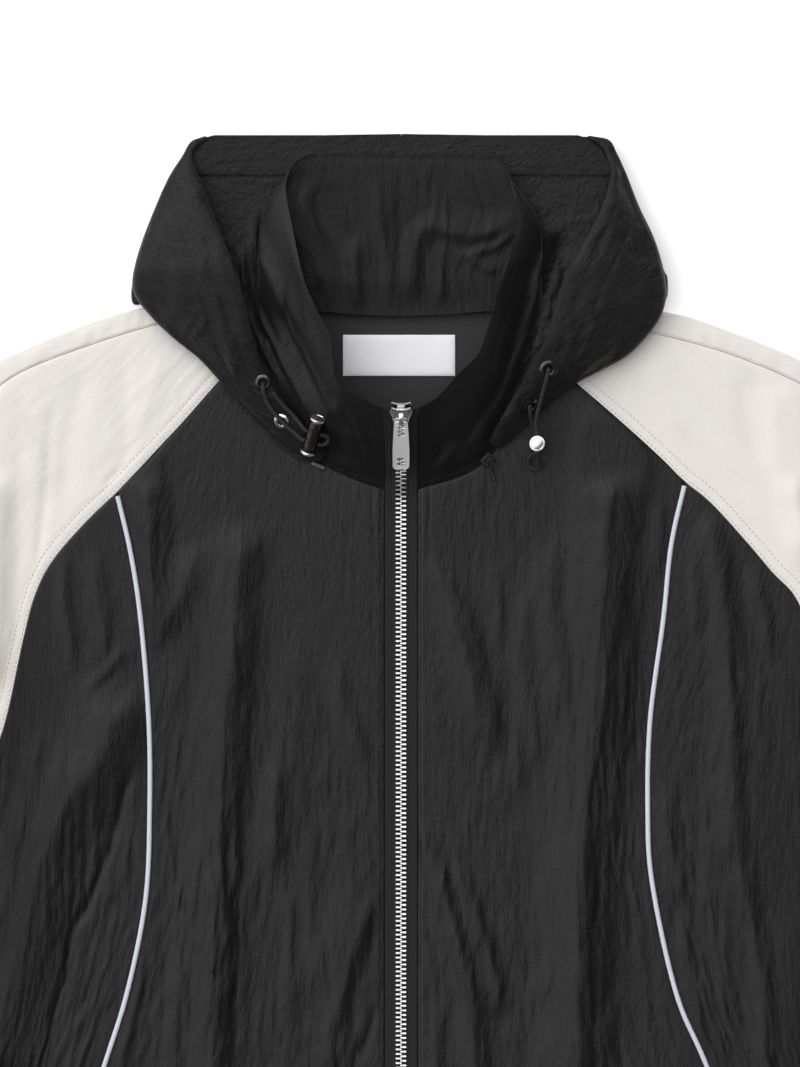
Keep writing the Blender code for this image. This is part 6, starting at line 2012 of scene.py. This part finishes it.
def slider():
    """Two waisted plates, the upper one with a slightly raised middle, a post between them and an arched
    bridge.
    """
    half = SLIDER_WIDTH / 2
    rows = [(0.3, half * 0.80), (1.6, half * 0.98), (3.6, half), (6.0, half * 0.86), (8.4, half * 0.72),
            (SLIDER_LENGTH - 0.9, half * 0.66), (SLIDER_LENGTH, half * 0.5)]
    low, high = PLATE_GAP / 2, PLATE_GAP / 2 + PLATE_THICKNESS
    body = plate(rows, low, high, 8, 1.5)
    with editing(body):
        pick("FACE", lambda at, normal: normal.z > 0.9 and abs(at.x) < half * 0.72)
        bpy.ops.transform.translate(value=(0, 0, 0.25 * MM))
    round_edges(body, 0.4, 3)
    under = round_edges(plate(rows, -high, -low, 8, 1.5), 0.4, 2)
    body = join_or_cut(body, under, "UNION")
    post = box((4.6, 5.2, PLATE_GAP + 0.4), (0, 3.1, 0), 0.5)
    body = join_or_cut(body, post, "UNION")
    section = [(3.5, -1.2), (4.5, -1.2), (4.7, 0.0), (4.5, 1.2), (3.5, 1.2), (3.3, 0.0), (3.5, -1.2)]
    bridge = turned(section, 28)
    with editing(bridge):
        bpy.ops.mesh.select_all(action="SELECT")
        bpy.ops.mesh.bisect(plane_co=(0, 0.6 * MM, 0), plane_no=(0, 1, 0), use_fill=True, clear_inner=True)
        faces_outwards()
    upright = Matrix.Rotation(math.pi / 2, 4, "Y") @ Matrix.Rotation(math.pi / 2, 4, "Z")
    raised = Matrix.Translation(Vector((0, 8.5, high - 1.1)) * MM)
    bridge.data.transform(raised @ upright @ Matrix.Diagonal((1, 0.98, 1, 1)))
    body = join_or_cut(body, bridge, "UNION")
    finished(body, "slider", slider_frame(), "bright", "zip_slider", angle=32)


def pull_tab():
    """The pull tab: raised side rails round a flat middle, an upper slot, a lower window and a round end."""
    half, end = TAB_WIDTH / 2, TAB_LENGTH - TAB_BAR / 2
    rows = [
        (-TAB_BAR / 2, half * 0.62), (0.4, half * 0.8), (3.0, half * 0.84), (12.0, half * 0.92), (22.0, half),
        (end - 3.2, half), (end - 1.5, half * 0.93), (end - 0.5, half * 0.75), (end, half * 0.42),
    ]
    thick = TAB_THICKNESS / 2
    tab = plate(rows, -thick, thick, 6)
    with editing(tab):
        pick("FACE", lambda at, normal: abs(normal.z) > 0.9)
        bpy.ops.mesh.inset(thickness=1.15 * MM, use_outset=False)
        pick("FACE", lambda at, way: abs(way.z) > 0.9 and abs(at.x) < half - 1.4 and -0.2 < at.y < end - 0.9)
        bpy.ops.transform.resize(value=(1, 1, 0.55), center_override=(0, 0, 0))
    round_edges(tab, 0.28, 2, 30)
    slot = box((*TAB_SLOT, 6), (0, TAB_BAR / 2 + TAB_SLOT[1] / 2, 0), 1.3, 3)
    tab = join_or_cut(tab, slot, "DIFFERENCE")
    window = box((*TAB_WINDOW, 6), (0, end - TAB_END_WALL - TAB_WINDOW[1] / 2, 0), 0.9, 3)
    tab = join_or_cut(tab, window, "DIFFERENCE")
    place = slider_frame() @ Matrix.Translation(Vector((0, *BAR_AT)) * MM)
    finished(tab, "pull_tab_plate", place, "pale", "zip_pull", "pull_tab", 32)


# Hood fittings.
EYELET_HOLE = 4.6
EYELET_HEIGHT = 1.1
LOCKS = {
    # lower end of the axis, upper end, way of the strands, slot's middle above the axis's middle
    "left": ((-55.9, 203.6, 20.4), (-49.4, 225.0, 32.0), (-0.96, 0.28, 0.0), -1.3),
    "right": ((81.3, 209.5, 5.6), (81.3, 209.5, 27.4), (0.0, 1.0, 0.0), 1.3),
}
LOCK_DIAMETER = 7.6
LOCK_RIM = (9.6, 2.2)
LOCK_SLOT = (10.2, 3.3)
HOOD_ZIP_LINE = [(-78.8, 215.2), (-72.6, 209.6), (-66.0, 204.6), (-60.2, 201.3), (-55.0, 199.0)]
HOOD_ZIP_SECTION = (2.4, 1.3)
HOOD_ZIP_END = ((-53.6, 198.2), (-45.4, 194.4))
HOOD_SLIDER_AT = (51.6, 200.2, 7.9)
HOOD_SLIDER_UP = (0.284, -0.291, 0.914)
HOOD_SLIDER_WAY = (0.715, 0.698, 0.0)
HOOD_SLIDER_SIZE = (7.6, 6.4, 3.4)
HOOD_PULL_DIAMETER = 1.1
HOOD_PULL_BEAD = 2.4


def standing(base, way):
    """Matrix with its origin at the base and Z along the way."""
    return Matrix.Translation(Vector(base) * MM) @ Vector(way).to_track_quat("Z", "Y").to_matrix().to_4x4()


def seat_on(grid, up_at, x, y, radius):
    """Where a flat round piece rests on a surface of points, and the way up there."""
    points, normals = grid.reshape(-1, 3), turned_up(grid_normals(grid), up_at).reshape(-1, 3)
    nearest = np.argmin(np.hypot(points[:, 0] - x, points[:, 1] - y))
    center, normal = points[nearest], normals[nearest]
    around = points[np.linalg.norm(points - center, axis=1) < radius * 1.1]
    lift = ((around - center) @ normal).max() + SEAM_GAP + 0.15
    return center + normal * lift, normal


def eyelet(name, side, x, y, outer, finish):
    upper_hood = hood_grid(side, 80, 2, 8, 60)[:, 6:]
    seat, normal = seat_on(upper_hood, (40, 30), x, y, outer / 2)
    rim, hole, tall = outer / 2, EYELET_HOLE / 2, EYELET_HEIGHT
    profile = [
        (rim, 0.0), (rim, 0.3), (rim * 0.93, 0.62), (mix(rim, hole, 0.45), tall),
        (mix(rim, hole, 0.8), tall * 0.92),
        (hole, 0.45), (hole, -0.5), (hole + 0.35, -0.5), (hole + 0.4, 0.0), (rim, 0.0),
    ]
    finished(turned(profile, 40), f"{name}_ring", standing(seat, normal), finish, name)


def cord_lock(side):
    """A sprung barrel: turned case with flanged ends, a slot for the cord and a domed button."""
    low, high, strands, slot_height = LOCKS[side]
    low, high = Vector(low), Vector(high)
    half = (high - low).length / 2
    up = (high - low).normalized()
    across = up.cross(Vector(strands)).normalized()
    place = place_matrix(across.cross(up), across, up, (low + high) / 2)
    rim, flange = LOCK_RIM[0] / 2, LOCK_RIM[1]
    case = LOCK_DIAMETER / 2
    profile = [
        (0.01, -half), (rim * 0.7, -half), (rim * 0.95, -half + 0.25), (rim, -half + 0.7),
        (rim, -half + flange - 0.4), (rim * 0.93, -half + flange), (case, -half + flange + 0.1),
        (case, half - flange - 0.5), (case * 0.86, half - flange - 0.45), (case * 0.86, half - flange - 0.05),
        (rim * 0.93, half - flange), (rim, half - flange + 0.4), (rim, half - 0.7), (rim * 0.95, half - 0.3),
        (rim * 0.8, half - 0.2), (rim * 0.74, half - 0.5), (rim * 0.5, half - 0.15), (0.01, half),
    ]

    def slotted(piece):
        slot = box((LOCK_RIM[0] + 2, LOCK_SLOT[1], LOCK_SLOT[0]), (0, 0, slot_height), 0.8, 3)
        return join_or_cut(piece, slot, "DIFFERENCE")

    barrel = slotted(turned(profile, 36))
    if side == "left":
        foot, top = -half + flange + 0.15, half - flange - 0.6
        inside, outside = case - 0.3, case + 0.4
        band = turned([(inside, foot), (outside, foot), (outside, top), (inside, top), (inside, foot)], 36)
        finished(slotted(band), "cord_stop_case", place, "smoked", f"cord_lock_{side}")
    finished(barrel, f"cord_stop_{side}", place, "bright", f"cord_lock_{side}")


# Radii of a loop of the coil, and how far apart the loops are.
COIL_LOOP = (0.85, 0.24)
COIL_PITCH = 1.15


def coil_zip():
    """The stretch of coil zip that shows beside the neck: rows of loops on their tape."""
    line = smooth_line(HOOD_ZIP_LINE)
    total = run_of(line)[-1]
    major, minor = COIL_LOOP
    loop = drawn(
        bpy.ops.mesh.primitive_torus_add,
        major_radius=major * MM, minor_radius=minor * MM, major_segments=12, minor_segments=6,
    )
    with editing(loop):
        pick("VERT", lambda at, _: at.x > 0)
        bpy.ops.transform.resize(value=(1.5, 1, 1), center_override=(0, 0, 0))
    places = []
    width, tall = HOOD_ZIP_SECTION
    for length in np.arange(0.5, total - 0.4, COIL_PITCH):
        spot, ahead = at_length(line, [length, length + 0.1])
        along = Vector((*(ahead - spot), 0)).normalized()
        side_way = Vector((-along.y, along.x, 0))
        base = float(front_height([spot])[0]) + WALL + SEAM_GAP + 0.25
        for sign in (1, -1):
            at = Vector((*spot, base + tall / 2)) + side_way * sign * width * 0.22
            places.append(place_matrix(side_way * sign, Vector((0, 0, 0.66)), along, at))
    points, faces = copies(loop, places)
    mesh_piece("coil_teeth", points, faces, "coil", node="hood_zip_left")


def coil_zip_end():
    start, end = np.array(HOOD_ZIP_END)
    way = end - start
    size = (float(np.linalg.norm(way)), HOOD_ZIP_SECTION[0] + 0.3, HOOD_ZIP_SECTION[1] + 0.1)
    piece = box(size, (0, 0, 0), 0.45, 3)
    groove = box((size[0] * 0.7, 0.5, 1.0), (0, 0, size[2] / 2), 0.15, 1)
    piece = join_or_cut(piece, groove, "DIFFERENCE")
    middle = (start + end) / 2
    base = front_height([start, middle, end]).max() + WALL + SEAM_GAP + 0.15
    turn = Matrix.Rotation(math.atan2(way[1], way[0]), 4, "Z")
    place = Matrix.Translation(Vector((*middle, base + size[2] / 2)) * MM) @ turn
    finished(piece, "coil_end", place, "dark", "hood_zip_end_left")


def hood_slider():
    """The hood zip's small cast slider: a knobbly body with side ribs and a raised bridge."""
    length, width, tall = HOOD_SLIDER_SIZE
    piece = box((length, width, tall * 0.55), (0, 0, tall * 0.28), 0.5)
    for x in (-2.6, -0.9, 0.9, 2.6):
        for sign in (-1, 1):
            knob = box((1.0, 1.5, 1.6), (x, sign * (width / 2 - 0.9), tall * 0.55), 0.3, 1)
            piece = join_or_cut(piece, knob, "UNION")
    bridge = box((length * 0.5, 1.6, tall * 0.8), (0.3, 0, tall * 0.6), 0.5)
    piece = join_or_cut(piece, bridge, "UNION")
    up, way = Vector(HOOD_SLIDER_UP).normalized(), Vector(HOOD_SLIDER_WAY)
    across = up.cross(way).normalized()
    place = place_matrix(across.cross(up), across, up, HOOD_SLIDER_AT)
    finished(piece, "hood_slider", place, "coil", "hood_zip_slider_right")


def hood_pull():
    line = at_share(smooth_line(HOOD_PULL_ROUTE), np.linspace(0, 1, 26))
    swell = np.ones(26)
    swell[-7:] = [1.3, 1.8, HOOD_PULL_BEAD / HOOD_PULL_DIAMETER, 2.3, 2.1, 1.6, 0.8]
    radii = HOOD_PULL_DIAMETER / 2 * swell
    round_tube("hood_zip_string", line, radii, "cord", "hood_zip_pull_right", 10)


for side_name in SIDES:
    zip_tape(side_name)
    cord_lock(side_name)
zip_chain()
slider()
pull_tab()
for row in EYELETS:
    eyelet(*row)
coil_zip()
coil_zip_end()
hood_slider()
hood_pull()


# Sewing.
STITCH_TIP = 0.35
# How far a stitch strays along its row, and over what length this changes.
STITCH_STRAY = (0.12, 3.1)
# Pitches of the finer rows, and how far in the other rows lie.
OVERARM_STITCH = (2.2, 1.3)
HOOD_STITCH = 2.4
COLLAR_STITCH = 3.0
COLLAR_STITCH_INSETS = (2.4, 2.0)
# The y of the facing's rows and how far in from its sides they end.
FACING_STITCHES = ((392.5, 6.0), (390.7, 6.0), (371.8, 2.0))


def edge_line(grid, inset, last=False):
    """The line on a surface at this distance from its first or last column, and the way out along it."""
    normal = grid_normals(grid)
    if normal[..., 2].mean() < 0:
        normal = -normal
    if last:
        grid, normal = grid[:, ::-1], normal[:, ::-1]
    line, out = [], []
    for row, ways in zip(grid, normal):
        run = run_of(row)
        line.append([np.interp(inset, run, column) for column in row.T])
        out.append([np.interp(inset, run, column) for column in ways.T])
    return np.array(line), np.array(out)


def plan_line(grid, points):
    """Points in plan set on a surface, and the way out of the surface there."""
    normal = turned_up(grid_normals(grid), (grid.shape[0] // 2, grid.shape[1] // 2))
    flat, ways = grid.reshape(-1, 3), normal.reshape(-1, 3)
    nearest = [int(np.argmin(np.hypot(*(flat[:, :2] - point).T))) for point in points]
    return np.column_stack([points, flat[nearest, 2]]), ways[nearest]


def thread_bead():
    """One stitch along Y: a short length of thread whose ends dip into the cloth."""
    radius, depth = THREAD / 2 * MM, STITCH_LENGTH * 0.5 * MM
    bead = drawn(bpy.ops.mesh.primitive_cylinder_add, vertices=5, radius=radius, depth=depth)
    bead.data.transform(Matrix.Rotation(math.pi / 2, 4, "X"))
    end, dip = STITCH_LENGTH / 4, -THREAD * 0.45 * MM
    with editing(bead):
        for sign in (-1, 1):
            pick("FACE", lambda at, normal: normal.y * sign > 0.9 and at.y * sign > end - 0.01)
            bpy.ops.mesh.extrude_region_move(TRANSFORM_OT_translate={"value": (0, sign * end * MM, dip)})
            middle = (0, sign * 2 * end * MM, dip)
            bpy.ops.transform.resize(value=(STITCH_TIP, 1, STITCH_TIP), center_override=middle)
    return bead


def sewing(name, finish, lines, pitch=STITCH_PITCH):
    """One piece with all the stitches along some lines of (points, ways out of the cloth)."""
    places = []
    stray, stray_pitch = STITCH_STRAY
    for points, ways in lines:
        run = run_of(points)
        lengths = np.arange(pitch * 0.6, run[-1] - pitch * 0.5, pitch)
        lengths = lengths + stray * uneven(lengths, stray_pitch, 281)
        spots = at_length(points, lengths)
        out = np.column_stack([np.interp(lengths, run, column) for column in ways.T])
        ahead = at_length(points, lengths + 0.4) - at_length(points, lengths - 0.4)
        for spot, way, along in zip(spots, out, ahead):
            along, way = Vector(along).normalized(), Vector(way)
            across = along.cross(way).normalized()
            up = across.cross(along)
            places.append(place_matrix(across, along, up, Vector(spot) + up * (THREAD * 0.22)))
    points, faces = copies(thread_bead(), places)
    return mesh_piece(name, points, faces, finish)


def part_of(line, start, end):
    points, ways = line
    first, last = round(start * (len(points) - 1)), round(end * (len(points) - 1))
    return points[first : last + 1], ways[first : last + 1]


def declare(grid):
    """Works out the runs across and along a piece of cloth, and does not use them."""
    across, along = grid_runs(grid)


def sew_and_declare():
    for side in SIDES:
        front, side_front, top, under = (
            f"{name}_{side}" for name in ("front", "side_front", "sleeve_top", "sleeve_under")
        )
        zip_line = edge_line(cloth_tops[front], EDGESTITCH_INSET)
        zip_seam = sewing(f"zip_stitching_{side}", "black_thread", [zip_line])
        declare(cloth_tops[front])
        declare(cloth_tops[side_front])
        rows = [part_of(edge_line(cloth_tops[top], inset), 0, RAGLAN_SHARE)
                for inset in (EDGESTITCH_INSET, TOPSTITCH_INSET)]
        raglan_seam = sewing(f"raglan_stitching_{side}", "cream_thread", rows)
        declare(cloth_tops[top])
        pitch, inset = OVERARM_STITCH
        overarm = edge_line(cloth_tops[under], inset, last=True)
        overarm_seam = sewing(f"overarm_stitching_{side}", "cream_thread", [overarm], pitch)
        declare(cloth_tops[under])
        shell = hood_faces[side]
        flap = shell[:, HOOD_FLOOR + HOOD_FOLD :]
        channel = edge_line(flap[8:-14], CHANNEL_INSET, last=True)
        hem = edge_line(flap[2:-10], HEM_STITCH_INSET, last=True)
        hood_seams = sewing(f"hood_stitching_{side}", "black_thread", [channel, hem], HOOD_STITCH)
        declare(shell)
    facing_lines = []
    for y, inset in FACING_STITCHES:
        left, right = (np.interp(y, *np.array(FACING_ROWS).T[[0, k]]) for k in (1, 2))
        x = np.linspace(left + inset, right - inset, 160)
        facing_lines.append(plan_line(facing_top, np.column_stack([x, np.full(160, y)])))
    facing_seams = sewing("facing_stitching", "black_thread", facing_lines, HOOD_STITCH)
    declare(facing_top)
    declare(back_face)
    declare(lining_top)
    declare(label_top)
    rim_inset, foot_inset = COLLAR_STITCH_INSETS
    rim = edge_line(collar_inside, rim_inset, last=True)
    foot = edge_line(collar_outside, foot_inset)
    collar_seams = sewing("collar_stitching", "black_thread", [rim, (foot[0], -foot[1])], COLLAR_STITCH)
    declare(collar_outside)


sew_and_declare()
